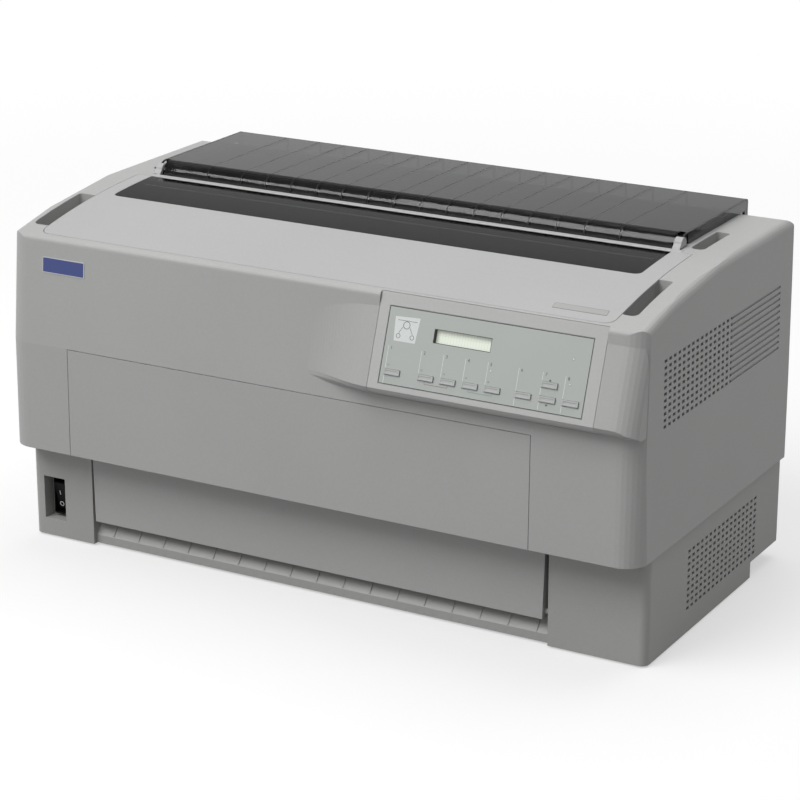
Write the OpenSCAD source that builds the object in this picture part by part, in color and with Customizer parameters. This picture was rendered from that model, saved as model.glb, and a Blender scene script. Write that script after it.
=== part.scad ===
// Heavy-duty wide-carriage dot matrix printer with hinged covers.
// Millimetres, +X right, +Y back, +Z up. The origin is the middle of the footprint, on the table.

/* [Housing] */
// Width across the upper housing
body_w = 700; // [690:1:710]
// Height of the top of the printer at the crown of its housing
crown_h = 352; // [350:0.5:354]
// Drop of the crowned top from its highest line to the front edge
crown_drop = 24; // [22:1:26]
// Height of the upper housing's lower edge
seam_h = 108; // [106:1:110]
// Wall thickness of the moulded cases
wall = 3; // [2.5:0.5:3.5]
// Radius of the upright front corners
corner_r = 24; // [20:1:28]
// Width across the lower case
base_w = 693; // [688:1:693]

/* [Console] */
// Left edge of the control panel
console_left = 78; // [76:1:80]
// Right edge of the control panel
console_right = 309; // [307:1:311]
// Distance of the console's lip in front of the middle
lip_y = 191; // [189:0.5:193]
// Height of the console's lip
lip_h = 242; // [240:1:244]
// Stroke of the push buttons
button_stroke = 1.2; // [0.8:0.1:1.4]

/* [Covers] */
// Height of the top of the eject cover
lid_h = 363.5; // [362:0.5:365]
// Spacing of the ribs on the eject cover and the paper guide
rib_pitch = 30; // [29:0.5:31]
// Thickness of the moulded covers
cover_t = 2.6; // [2.2:0.2:3]

/* [Vents] */
// Spacing of the vent holes along the side
vent_pitch = 10; // [9:0.5:10]
// Width of one vent hole
vent_w = 5.6; // [4:0.2:6]
// Height of one vent hole
vent_h = 3; // [2.4:0.2:3.4]

/* [Mechanism] */
// Radius of the platen's rubber
platen_r = 18; // [17:0.5:18]
// Gear module of the paper feed train
gear_module = 1.6; // [1.6:0.1:1.6]
// Teeth of the platen gear
platen_teeth = 50; // [50:1:50]
// Distance between the side frames
frame_gap = 562; // [560:1:564]

/* [Hidden] */
$fn = 48;

case_grey = "#a3a3a0";
cover_grey = "#c4c4c4";
smoke = "#4c4e50";
panel_grey = "#b0b5b2";
steel = "#b8bcc0";
dark = "#2a2b2d";
rubber = "#1c1c1e";
pcb_green = "#2f5a3c";
gear_white = "#d8d4c6";
black_plastic = "#222325";

half_w = body_w / 2;
gap = 0.5;                // seam between neighbouring covers
eps = 0.01;

// --- the housing's own outline: front wall, crown, back wall ---
front_low = -176;         // front wall at the lower edge
front_mid = -174.5;       // front wall where it starts to lean back
front_mid_h = 219;
front_edge_y = -160;      // where the crown meets the front edge's rounding
front_edge_r = 6;
back_y = 181.5;
back_r = 12;
crown_y = 95;             // the top is level behind this line
crown_power = 2.6;
side_draft = 4;           // each side leans in by this much from the lower edge to the crown
edge_r = 8.5;             // rounding along the top's two sides
top_half = half_w - side_draft + 0.2;
rear_corner_r = 10;

function crown(y) = crown_h
    - crown_drop * pow(max(0, crown_y - y) / (crown_y - front_edge_y + 2), crown_power);
function slope(y) = atan((crown(y + 1) - crown(y - 1)) / 2);
function arc(cy, cz, r, a0, a1, n) =
    [for (i = [0:n]) [cy + r * cos(a0 + (a1 - a0) * i / n), cz + r * sin(a0 + (a1 - a0) * i / n)]];
function crown_line(y0, y1, n, t) =
    [for (i = [0:n]) let (y = y0 + (y1 - y0) * i / n) [y, crown(y) - t]];
function reverse(v) = [for (i = [len(v) - 1:-1:0]) v[i]];
function lerp(a, b, f) = a + (b - a) * f;
function smooth(f) = f * f * (3 - 2 * f);
function side_x(z) = half_w - side_draft * (z - seam_h) / (crown_h - seam_h);

// Extrudes a (Y, Z) outline along X, and an (X, Z) outline along Y.
module along_x(x0, x1) translate([x0, 0, 0]) rotate([90, 0, 90]) linear_extrude(x1 - x0) children();
module along_y(y0, y1) translate([0, y1, 0]) rotate([90, 0, 0]) linear_extrude(y1 - y0) children();
module block(a, b) translate(a) cube(b - a);
module rod_x(x0, x1, y, z, r) translate([x0, y, z]) rotate([0, 90, 0]) cylinder(r = r, h = x1 - x0);

// A rectangle from (x0, y0) to (x1, y1) with its own radius at the front and at the back.
module plan(x0, x1, y0, y1, rf, rb) {
    polygon(concat(
        arc(x0 + rf, y0 + rf, rf, 180, 270, 8), arc(x1 - rf, y0 + rf, rf, 270, 360, 8),
        arc(x1 - rb, y1 - rb, rb, 0, 90, 6), arc(x0 + rb, y1 - rb, rb, 90, 180, 6)));
}

edge_slope = slope(front_edge_y);
edge_centre = [front_edge_y + front_edge_r * sin(edge_slope),
               crown(front_edge_y) - front_edge_r * cos(edge_slope)];

module side_outline(t) {
    foot = seam_h - (t > 0 ? 1 : 0);
    polygon(concat(
        [[back_y - t, foot], [front_low + t, foot], [front_mid + t, front_mid_h]],
        arc(edge_centre[0], edge_centre[1], front_edge_r - t, 174.5, 90 + edge_slope, 4),
        crown_line(front_edge_y + 4, back_y - back_r - 4, 14, t),
        arc(back_y - back_r, crown_h - back_r, back_r - t, 90, 0, 5)));
}

// Keeps the front corners round up the leaning front wall.
module leaning_corners(y, z, lean, t) {
    reach = 400;
    translate([0, y, z]) rotate([-lean, 0, 0]) translate([0, 0, -reach / 2]) linear_extrude(1.5 * reach)
        plan(-half_w + t, half_w - t, t, reach, corner_r - t, 1);
}

wall_lean = 5.4;          // lean of the front wall above front_mid_h
module housing_form(t) {
    intersection() {
        along_x(-half_w, half_w) side_outline(t);
        translate([0, 0, seam_h - 2]) linear_extrude(crown_h)
            plan(-half_w + t, half_w - t, front_low + t, back_y - t, corner_r - t, rear_corner_r - t);
        along_y(-200, 200) polygon([
            [-half_w + t, seam_h - 1], [half_w - t, seam_h - 1],
            [half_w - side_draft - t, crown_h + 1], [-half_w + side_draft + t, crown_h + 1]]);
        leaning_corners(front_low, seam_h, atan((front_mid - front_low) / (front_mid_h - seam_h)), t);
        leaning_corners(front_mid, front_mid_h, wall_lean, t);
        intersection_for(y = [-140, -60, crown_y])
            translate([0, y, crown(y)]) rotate([slope(y), 0, 0]) along_y(-500, 700)
                polygon(concat(
                    [[half_w + 6 - t, -600]],
                    arc(top_half - edge_r, -edge_r, edge_r - t, 0, 90, 5),
                    arc(edge_r - top_half, -edge_r, edge_r - t, 90, 180, 5),
                    [[-half_w - 6 + t, -600]]));
    }
}

// --- the console: a leaning face that swells out of the front wall ---
console_top_y = -160.5;
console_top_h = 328.2;
face_lean = atan((console_top_y + lip_y) / (console_top_h - lip_h));
ledge_h = 231.5;
blend_start = -2;
blend_steps = 24;
// A point up the console's face by s and in from it by d.
function on_face(s, d) = [-lip_y + s * sin(face_lean) + d * cos(face_lean),
                          lip_h + s * cos(face_lean) - d * sin(face_lean)];

function console_ring(f, t) = let (
        back = front_mid + 12,
        top = [lerp(front_edge_y - 4.2 + t, console_top_y + t, f), lerp(322, console_top_h - t * 0.6, f)],
        lip = on_face(1.2, t), under = [-lip_y + 3.2 + t, lip_h - 3 + t * 0.5])
    [top, [lerp(-172 + t, lip[0], f), lip[1]], [lerp(-172.2 + t, under[0], f), under[1]],
     [front_mid + lerp(4, 1, f) + t * 1.4, ledge_h + t], [back, ledge_h + t], [back + 6, 322 - t]];

module loft(rings) {
    n = len(rings[0]);
    last = len(rings) - 1;
    points = [for (r = rings) each r];
    ends = [[for (i = [0:n - 1]) i], [for (i = [0:n - 1]) last * n + n - 1 - i]];
    sides = [for (k = [0:last - 1], i = [0:n - 1]) let (j = (i + 1) % n, a = k * n, b = a + n)
        each [[a + i, b + j, a + j], [a + i, b + i, b + j]]];
    polyhedron(points = points, faces = concat(ends, sides));
}

// Lofted in one piece: the S-curve of the blend, then the straight length behind the panel.
module console_form(t) intersection() {
    loft(concat(
        [for (k = [0:blend_steps]) let (f = k / blend_steps, x = lerp(blend_start, console_left, f))
            [for (p = console_ring(smooth(f), t)) [x, p[0], p[1]]]],
        [[for (p = console_ring(1, t)) [half_w + 5, p[0], p[1]]]]));
    along_y(-200, 200) polygon([
        [-50, seam_h - 1], [half_w - t, seam_h - 1], [half_w - side_draft - t, crown_h + 1],
        [-50, crown_h + 1]]);
    leaning_corners(-lip_y, lip_h, face_lean, t);
}

// --- hinges and the eject cover's place ---
pin_r = 3;
door_axis_y = -137;
door_axis_z = 34;
cover_axis_y = 3;
cover_axis_z = 345.3;
cover_pin_r = 2;
lid_axis_y = 34;
lid_axis_z = 355;
lid_pin_r = 2.2;
hatch_axis_y = 175;
hatch_axis_z = 171;
hatch_pin_r = 2.5;
run = 0.06;                                    // radial clearance of a running fit

lid_x = [-300, 292.5];
lid_y = [28, 190.6];
lid_front_r = 15;
lid_foot = 352.3;
lid_front_foot = 350.4;           // the front wall reaches down beside the hinge bar
notch_x = [-294, 284.4];          // inner walls of the notches for the two hinge tabs
notch_y = 44.5;
tabs = [[-302.5, -294.8], [285.2, 293]];

// --- openings of the upper housing ---
cover_x = [-316, 309];            // printer cover
cover_y = [-156, 17];
window_x = [-300, 288];
window_y = -53.7;
exit_x = [-290, 280];             // paper exit under the eject cover
exit_y = [26, 170];
door_x = [-274.3, 239.3];         // front cover
door_top = 218.7;
hatch_x = [-270, 230];            // rear cover
hatch_z = [166, 322];
slots = [[-335, -313.5, -141, -60], [307, 324, -137, -58]];      // finger slots at the printer cover
pockets = [[-317, -303, 42, 99], [299, 313, 34, 99]];            // finger pockets at the eject cover
pocket_depth = 26;
bar_y = [18.2, 25.4];             // hinge bar between the two covers
bar_x = [-299, 297];
vent_upper = [16, 11, -121.7, 229.6, 6.2];   // columns, rows, first Y, first Z, row spacing
vent_lower = [17, 10, -51.5, 27, 6.4];
groove_end = 148.5;

module pocket_tub(s) block(
    [s[0] - 2, s[2] - 2, crown(s[2]) - pocket_depth - 2], [s[1] + 2, s[3] + 2, crown_h]);

// The hollow of a finger slot: a level floor with a ramp up to its back.
module finger_cut(s) {
    foot = crown(s[2]) - pocket_depth;
    intersection() {
        translate([0, 0, foot - 1]) linear_extrude(60) plan(s[0], s[1], s[2], s[3], 6, 3);
        along_x(s[0], s[1]) polygon([
            [s[2], foot], [s[3] - 22, foot], [s[3], foot + 14], [s[3], crown_h + 1], [s[2], crown_h + 1]]);
    }
}

module vent_holes(v, x0, x1) {
    for (row = [0:v[1] - 1], col = [0:v[0] - 1])
        translate([x0, v[2] + col * vent_pitch - vent_w / 2, v[3] + row * v[4] - vent_h / 2])
            cube([x1 - x0, vent_w, vent_h]);
}

module vent_grooves() {
    first = vent_upper[2] + (vent_upper[0] - 1) * vent_pitch + vent_w / 2 - 0.5;
    for (row = [0:vent_upper[1] - 1]) let (z = vent_upper[3] + row * vent_upper[4])
        block([side_x(z) - 1.2, first, z - vent_h / 2 + 0.3], [half_w + 1, groove_end, z + vent_h / 2 - 0.3]);
}

module cover_opening() {
    translate([0, 0, 300]) linear_extrude(60)
        plan(cover_x[0] - gap, cover_x[1] + gap, cover_y[0] - gap, cover_y[1] + gap, 11, 1);
    block([bar_x[0], cover_y[1], 300], [bar_x[1], exit_y[0], 360]);
    block([exit_x[0], exit_y[0] - 1, 300], [exit_x[1], exit_y[1], 360]);
    // room for the eject cover's front wall to swing
    block([lid_x[0] - 1, exit_y[0] - 1, 340], [lid_x[1] + 1, 42, 360]);
}

module upper_housing() color(case_grey) difference() {
    union() {
        difference() {
            union() {
                housing_form(0);
                console_form(0);
            }
            housing_form(wall);
            console_form(wall);
            cover_opening();
        }
        intersection() {
            housing_form(wall - 0.1);
            union() {
                for (s = slots) pocket_tub(s);
                for (s = pockets) pocket_tub(s);
                // bosses for the printer cover's pins
                for (x = [cover_x[0] - 9, cover_x[1] + 1]) block(
                    [x, cover_axis_y - 6, cover_axis_z - 5], [x + 8, cover_axis_y + 6, crown_h]);
            }
        }
        // shelf that closes the overhang in front of the lower case
        block([-half_w + corner_r, front_low + 1, seam_h], [door_x[0] - 1, base_front - 1.5, seam_h + wall]);
        block([door_x[1] + 7, front_low + 1, seam_h], [half_w - corner_r, base_front - 1.5, seam_h + wall]);
        // bosses for the rear cover's pins
        for (x = [hatch_x[0] - 10, hatch_x[1] + 0.8]) along_x(x, x + 9.2) polygon(concat(
            [[back_y - 2, hatch_axis_z - 12]], arc(hatch_axis_y, hatch_axis_z, 5, -90, -270, 8),
            [[back_y - 2, hatch_axis_z + 12]]));
    }
    for (s = slots) finger_cut(s);
    for (s = pockets) finger_cut(s);
    rod_x(cover_x[0] - 6, cover_x[1] + 6, cover_axis_y, cover_axis_z, cover_pin_r + run);
    for (x = [hatch_x[0] - 6, hatch_x[1] - 8])
        rod_x(x, x + 14, hatch_axis_y, hatch_axis_z, hatch_pin_r + run);
    block([door_x[0] - gap, -200, 100], [door_x[1] + gap, -150, door_top + gap]);
    block([hatch_x[0] - gap, back_y - 6, hatch_z[0] - 4.5], [hatch_x[1] + gap, 200, hatch_z[1] + gap]);
    along_x(console_left - 0.3, console_right + 0.3) polygon([
        [-200, ledge_h - 0.3], [-158, ledge_h - 0.3], [-158, 324], [console_top_y + 0.3, 329], [-161, 335],
        [-200, 335]]);
    vent_holes(vent_upper, half_w - 12, half_w + 2);
    vent_grooves();
}

// --- lower case ---
base_half = base_w / 2;
base_front = -144.5;
base_back = 176.5;
base_foot = 2;                    // the rubber feet lift the case by this much
step_y = 103;
step_h = 18.5;
bay_x = [-272.4, 245.7];          // paper bay between the two front pillars
bay_back = -100;
switch_x = [-333, -307];
switch_z = [20, 66];
switch_depth = 15;
rocker_x = -320;
rocker_y = -127;
rocker_z = 43;
rocker_pin_r = 1.5;
base_top = 122;
board_screw_x = [-200, 0];
board_screw_y = [-70, 60];
ports = [[-180, 62, 38, 14], [-100, 62, 16, 12], [188, 64, 28, 21]];   // X, Z, width, height at the back

module base_outline(t) polygon([
    [base_front + t, base_foot + t], [step_y - t, base_foot + t], [step_y - t, step_h + t],
    [base_back - t, step_h + t], [base_back - t, base_top + (t > 0 ? 1 : 0)],
    [base_front + t, base_top + (t > 0 ? 1 : 0)]]);

module base_form(t) intersection() {
    along_x(-base_half, base_half) base_outline(t);
    linear_extrude(200)
        plan(-base_half + t, base_half - t, base_front + t, base_back - t, 8 - t, 7 - t);
}

module lower_case() color(case_grey) difference() {
    union() {
        difference() {
            base_form(0);
            base_form(wall);
            block([bay_x[0], -200, 0], [bay_x[1], bay_back, 130]);
        }
        intersection() {
            base_form(0);
            union() {
                block([bay_x[0] - wall, base_front, 0], [bay_x[0], bay_back, base_top]);
                block([bay_x[1], base_front, 0], [bay_x[1] + wall, bay_back, base_top]);
                block([switch_x[0] - 2, base_front, switch_z[0] - 2],
                      [switch_x[1] + 2, base_front + switch_depth + 2, switch_z[1] + 2]);
                block([rocker_x - 11, rocker_y - 4, rocker_z - 21],
                      [rocker_x + 11, rocker_y + 5, rocker_z + 21]);
            }
        }
        for (x = board_screw_x, y = board_screw_y)
            translate([x, y, base_foot + wall - eps]) cylinder(r = 4, h = 8);
    }
    block([switch_x[0], -200, switch_z[0]], [switch_x[1], base_front + switch_depth, switch_z[1]]);
    // well and pin holes of the rocker
    block([rocker_x - 6.6, -135, rocker_z - 18.6], [rocker_x + 6.6, -115, rocker_z + 18.6]);
    rod_x(rocker_x - 9, rocker_x + 9, rocker_y, rocker_z, rocker_pin_r + run);
    for (x = [bay_x[0] - 10, bay_x[1] - 10]) rod_x(x, x + 20, door_axis_y, door_axis_z, pin_r + 0.08);
    // room for the front cover's upper part
    block([door_x[0] - 1, -200, seam_h - 0.6], [door_x[1] + 1, base_front + 18, 130]);
    vent_holes(vent_lower, base_half - 12, base_half + 2);
    for (p = ports) translate([p[0], 160, p[1]]) cube([p[2], 30, p[3]]);
}

// --- hinge bar between the two covers ---
module hinge_bar() color(cover_grey) {
    top = crown(bar_y[0]) + 0.3;
    deck = crown(40) + 0.1;
    along_x(bar_x[0], bar_x[1]) polygon([
        [bar_y[0], top - 6.5], [bar_y[1], top - 6.5], [bar_y[1], top - 0.6], [bar_y[1] - 0.8, top + 0.1],
        [bar_y[0] + 0.8, top], [bar_y[0], top - 0.8]]);
    for (k = [0, 1]) let (t = tabs[k], inner = k == 0 ? t[1] : t[0], side = k == 0 ? 1 : -1) {
        along_x(t[0], t[1]) polygon(concat(
            [[39.5, deck], [bar_y[1] - 1, deck]], arc(lid_axis_y, lid_axis_z, 6, 170, 0, 10)));
        along_x(max(t[0], bar_x[0]), t[1]) polygon([
            [bar_y[1] - 3, top - 3], [bar_y[1], top - 3], [bar_y[1], deck], [bar_y[1] + 5, deck],
            [bar_y[1] + 5, deck + 2], [bar_y[1], deck + 2]]);
        rod_x(inner - (side > 0 ? 3 : 2.8), inner + (side > 0 ? 2.8 : 3), lid_axis_y, lid_axis_z, lid_pin_r);
    }
}

// --- covers ---
module cover_plate(x0, x1, y0, y1, t, drop) along_x(x0, x1) polygon(concat(
    crown_line(y0, y1, 12, drop), [for (p = crown_line(y1, y0, 12, drop + t)) p]));

module printer_cover() color(cover_grey) difference() {
    union() {
        intersection() {
            cover_plate(cover_x[0], cover_x[1], cover_y[0], cover_y[1], cover_t, 0);
            translate([0, 0, 300]) linear_extrude(60)
                plan(cover_x[0], cover_x[1], cover_y[0], cover_y[1], 11, 0.5);
        }
        // stiffening skirt inside the rim
        intersection() {
            cover_plate(cover_x[0] + 6, cover_x[1] - 6, cover_y[0] + 6, -20, 7, 2);
            difference() {
                translate([0, 0, 300]) linear_extrude(60)
                    plan(cover_x[0] + 6, cover_x[1] - 6, cover_y[0] + 6, 40, 9, 1);
                translate([0, 0, 299]) linear_extrude(62)
                    plan(cover_x[0] + 8, cover_x[1] - 8, cover_y[0] + 8, 40, 8, 1);
            }
        }
        for (x = [cover_x[0] + 3, cover_x[1] - 7]) along_x(x, x + 4) polygon(concat(
            [[cover_axis_y - 9, crown(cover_axis_y - 9) - 2]], arc(cover_axis_y, cover_axis_z, 4, 200, 340, 8),
            [[cover_axis_y + 9, crown(cover_axis_y + 9) - 2]]));
        rod_x(cover_x[0] - 5, cover_x[0] + 5, cover_axis_y, cover_axis_z, cover_pin_r);
        rod_x(cover_x[1] - 5, cover_x[1] + 5, cover_axis_y, cover_axis_z, cover_pin_r);
    }
    translate([0, 0, 300]) linear_extrude(60)
        plan(window_x[0], window_x[1], window_y, cover_y[1] + 5, 7, 1);
}

module cover_window() color(smoke, 0.6) intersection() {
    union() {
        intersection() {
            cover_plate(window_x[0], window_x[1], window_y, cover_y[1] - 0.5, cover_t - 0.3, 0.4);
            translate([0, 0, 300]) linear_extrude(60)
                plan(window_x[0] + 0.3, window_x[1] - 0.3, window_y + 0.3, cover_y[1], 7, 1);
        }
        // rebate that holds the pane from below
        cover_plate(window_x[0] - 4, window_x[1] + 4, window_y - 5, cover_y[1] - 0.5, 1.4, cover_t + 0.05);
    }
    translate([0, 0, 300]) linear_extrude(60)
        plan(window_x[0] - 4, window_x[1] + 4, window_y - 5, cover_y[1] - 0.5, 7, 0.5);
}

// The quarter round at the cover's front, at radius r, up from the height of its foot.
function lid_front(r, foot) = let (cz = lid_h - lid_front_r)
    arc(lid_y[0] + lid_front_r, cz, r, 180 - asin((foot - cz) / r), 90, 8);

module lid_outline(t) {
    rear_r = max(3 - t, 0.1);
    drop = t > 0 ? 1 : 0;
    foot = lid_foot - drop;
    lap = back_y + 1 - 3 * drop;          // the rear wall laps over the housing's back
    polygon(concat(
        lid_front(lid_front_r - t, lid_front_foot - drop),
        arc(lid_y[1] - t - rear_r, lid_h - t - rear_r, rear_r, 90, 0, 3),
        [[lid_y[1] - t, foot - 10], [lap, foot - 10], [lap - 0.2, foot], [notch_y, foot],
         [notch_y - 2, lid_front_foot - drop]]));
}

rib_depth = 4.8;
rib_x = concat([-240], [for (k = [0:13]) -199 + rib_pitch * k], [228]);

// A web inside the eject cover, down its front wall and under its top as far as y1.
module lid_rib(x0, x1, depth, y1) along_x(x0, x1) polygon(concat(
    lid_front(lid_front_r - 1, lid_front_foot + 0.4), [[y1, lid_h - 1], [y1, lid_h - depth]],
    reverse(lid_front(lid_front_r - depth, lid_front_foot + 0.4))));

module eject_cover() color(smoke, 0.6) difference() {
    union() {
        difference() {
            along_x(lid_x[0], lid_x[1]) lid_outline(0);
            along_x(lid_x[0] + 2.2, lid_x[1] - 2.2) lid_outline(2.2);
        }
        for (x = rib_x) lid_rib(x - 0.7, x + 0.7, rib_depth, lid_y[1] - 6);
        // walls of the notches for the hinge tabs
        for (x = [notch_x[0], notch_x[1] - 2.2]) lid_rib(x, x + 2.2, 10.5, notch_y + 2.2);
        for (x = [[lid_x[0] + 1, notch_x[0] + 1], [notch_x[1] - 1, lid_x[1] - 1]])
            block([x[0], notch_y, lid_foot + 0.4], [x[1], notch_y + 2.2, lid_h - 1]);
    }
    for (x = [[lid_x[0] - 1, notch_x[0]], [notch_x[1], lid_x[1] + 1]])
        block([x[0], 0, 300], [x[1], notch_y, 400]);
    for (x = [notch_x[0] - 1, notch_x[1] - 5])
        rod_x(x, x + 6, lid_axis_y, lid_axis_z, lid_pin_r + 0.08);
}

door_t = 3;
module door_outline() polygon([
    [base_front, 27.5], [base_front + 1, seam_h - 0.5], [front_low, seam_h], [front_mid, door_top],
    [front_mid + 13, door_top], [front_mid + 13, door_top - 12], [base_front + 16, seam_h + 14],
    [base_front + 12, seam_h], [base_front + 12, 27.5]]);

// Full width above the seam; below it the door tapers in between the front pillars.
door_low_x = [-270.6, 240.6];
module door_blank() {
    intersection() {
        along_x(door_x[0], door_x[1]) door_outline();
        block([-400, -200, seam_h], [400, 0, 400]);
    }
    intersection() {
        along_x(door_low_x[0] - 1, door_low_x[1] + 1) door_outline();
        along_y(-200, 0) polygon([
            [door_low_x[0] + 1.5, 20], [door_low_x[1] - 1, 20], [door_low_x[1] + 1, seam_h],
            [door_low_x[0] - 1, seam_h]]);
    }
}

module front_cover() color(case_grey) {
    difference() {
        door_blank();
        along_x(door_x[0] + 6, door_x[1] - 6) polygon([
            [base_front + door_t, 27.5 + door_t], [base_front + 1 + door_t, seam_h + door_t],
            [front_low + door_t, seam_h + door_t], [front_mid + door_t, door_top - door_t],
            [front_mid + 30, door_top - door_t], [front_mid + 50, seam_h], [-100, 27.5 + door_t]]);
    }
    // hinge knuckles at the foot, with their pins
    for (x = [door_low_x[0] + 0.6, door_low_x[1] - 4.6]) along_x(x, x + 4) polygon(concat(
        [[base_front + 1, 28]], arc(door_axis_y, door_axis_z, 5.5, -90, 90, 8), [[base_front + 1, 60]]));
    rod_x(bay_x[0] - wall + 0.3, door_low_x[0] + 3, door_axis_y, door_axis_z, pin_r);
    rod_x(door_low_x[1] - 3, bay_x[1] + wall - 0.3, door_axis_y, door_axis_z, pin_r);
}

module rear_cover() color(case_grey) {
    difference() {
        block([hatch_x[0], back_y - 3, hatch_z[0]], [hatch_x[1], back_y, hatch_z[1]]);
        // finger scoop at the top edge
        translate([(hatch_x[0] + hatch_x[1]) / 2, back_y + 6, hatch_z[1] + 6]) rotate([90, 0, 0])
            cylinder(r = 18, h = 8);
    }
    for (x = [hatch_x[0] + 2, hatch_x[1] - 8]) along_x(x, x + 6) polygon(concat(
        [[back_y - 2, hatch_z[0] + 1]], arc(hatch_axis_y, hatch_axis_z, 4.5, -90, -270, 8),
        [[back_y - 2, hatch_z[0] + 20]]));
    for (x = [hatch_x[0] - 5, hatch_x[1] - 5])
        rod_x(x, x + 10, hatch_axis_y, hatch_axis_z, hatch_pin_r);
    for (k = [0:7]) translate([hatch_x[0] + 40 + k * 60, back_y - 5, hatch_z[0] + 8]) cube([1.6, 2.5, 140]);
}

// --- control panel ---
overlay_x = [88.6, 297];
overlay_s = [6.5, 79.5];          // along the leaning face, up from the lip
overlay_t = 0.8;
lcd_x = [138.2, 197.3];
lcd_s = [51.3, 64.4];
button_w = 16.2;
button_h = 5.2;
button_proud = 1.4;
// Left edge along X and lower edge along the face of each button
buttons = [[93.6, 15.9], [128.7, 15.9], [151.5, 15.9], [174.3, 15.9], [197.1, 15.9], [228.3, 15.9],
           [252.5, 29], [252.5, 15.9], [275.4, 15.9]];
leds = [[200.9, 35.3], [280, 35.4], [279.7, 58.2]];

// Puts children, drawn with +Y up the face and +Z out of it, on the console.
module face_frame() translate([0, -lip_y, lip_h]) rotate([90 - face_lean, 0, 0]) children();

face_length = (console_top_h - lip_h) / cos(face_lean);
module panel_section(t) polygon([
    on_face(face_length - t, t), on_face(1.2, t), [-lip_y + 3.2 + t, lip_h - 3 + t * 0.5],
    [front_mid + 1, ledge_h + t], [-158.3 + t, ledge_h + t], [-158.3 + t, 322]]);

module control_panel() color(case_grey) difference() {
    along_x(console_left, console_right) panel_section(0);
    along_x(console_left + wall, console_right - wall) panel_section(wall);
    face_frame() {
        translate([overlay_x[0], overlay_s[0], -overlay_t])
            cube([overlay_x[1] - overlay_x[0], overlay_s[1] - overlay_s[0], 5]);
        translate([lcd_x[0] - 3, lcd_s[0] - 3, -10])
            cube([lcd_x[1] - lcd_x[0] + 6, lcd_s[1] - lcd_s[0] + 6, 12]);
        for (b = buttons) translate([b[0] - 0.4, b[1] - 0.4, -10])
            cube([button_w + 0.8, button_h + 0.8, 12]);
        for (l = leds) translate([l[0], l[1], -10]) cylinder(r = 1.6, h = 12);
    }
}

module panel_overlay() color(panel_grey) face_frame() difference() {
    translate([overlay_x[0] + 0.3, overlay_s[0] + 0.3, -overlay_t])
        cube([overlay_x[1] - overlay_x[0] - 0.6, overlay_s[1] - overlay_s[0] - 0.6, overlay_t - 0.1]);
    translate([lcd_x[0], lcd_s[0], -5]) cube([lcd_x[1] - lcd_x[0], lcd_s[1] - lcd_s[0], 8]);
    for (b = buttons) translate([b[0] - 0.25, b[1] - 0.25, -5]) cube([button_w + 0.5, button_h + 0.5, 8]);
    for (l = leds) translate([l[0], l[1], -5]) cylinder(r = 1.2, h = 8);
}

board_depth = 10.4;
lcd_depth = 5.2;                  // the display stands this far behind the panel's face
// Board behind the panel, with the display, the switches under the buttons and the lamps
module panel_board() color(pcb_green) face_frame() {
    translate([overlay_x[0] + 2, overlay_s[0] + 4, -board_depth - 1.6])
        cube([overlay_x[1] - overlay_x[0] - 4, overlay_s[1] - overlay_s[0] - 10, 1.6]);
    translate([lcd_x[0] - 2.6, lcd_s[0] - 2.6, -board_depth - eps])
        cube([lcd_x[1] - lcd_x[0] + 5.2, lcd_s[1] - lcd_s[0] + 5.2, board_depth - lcd_depth]);
    for (b = buttons) translate([b[0] + button_w / 2 - 3, b[1] + button_h / 2 - 3, -board_depth - eps])
        cube([6, 6, 2]);
    for (l = leds) translate([l[0], l[1], -board_depth - eps]) cylinder(r = 1.1, h = board_depth - 0.1);
}

module push_button(k) color(panel_grey) face_frame() translate([buttons[k][0], buttons[k][1], 0]) {
    difference() {
        translate([0, 0, -wall - 0.5]) cube([button_w, button_h, wall + 0.5 + button_proud]);
        translate([1.6, 1.4, button_proud - 0.3]) cube([button_w - 3.2, button_h - 2.8, 1]);
    }
    translate([-1.2, -1.2, -wall - 1.15]) cube([button_w + 2.4, button_h + 2.4, 1.1]);
    translate([button_w / 2, button_h / 2, -board_depth + 2.1 + button_stroke])
        cylinder(r = 1.8, h = board_depth - 4 - wall);
}
module button_1() push_button(0);
module button_2() push_button(1);
module button_3() push_button(2);
module button_4() push_button(3);
module button_5() push_button(4);
module button_6() push_button(5);
module button_7() push_button(6);
module button_8() push_button(7);
module button_9() push_button(8);

// --- paper guide between the front pillars ---
guide_front = -139.5;
guide_foot = 2.5;
strip_top = 11;
guide_t = 2.5;
ramp_bend = [-112, 45];
ramp_end = [-104.5, 68];
guide_first_rib = -252;
guide_ribs = 17;

module paper_guide() color(case_grey) {
    along_x(bay_x[0], bay_x[1]) polygon([
        [guide_front, guide_foot], [guide_front, strip_top], ramp_bend, ramp_end,
        [ramp_end[0] + guide_t, ramp_end[1]], [ramp_bend[0] + guide_t, ramp_bend[1] - 1],
        [guide_front + guide_t, strip_top - 1], [guide_front + guide_t, guide_foot + guide_t],
        [bay_back, guide_foot + guide_t], [bay_back, guide_foot]]);
    for (k = [0:guide_ribs - 1]) let (x = guide_first_rib + k * (rib_pitch + 0.2))
        along_x(x - 0.7, x + 0.7) polygon([
            [guide_front + 0.4, strip_top - 1], [guide_front + 0.4, strip_top + 1.8],
            [ramp_bend[0] - 1.2, ramp_bend[1] + 0.9], [ramp_end[0] - 1.4, ramp_end[1] - 1],
            [ramp_end[0] + 1, ramp_end[1] - 1], [ramp_bend[0] + 1, ramp_bend[1]],
            [guide_front + 1.5, strip_top - 1]]);
}

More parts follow.
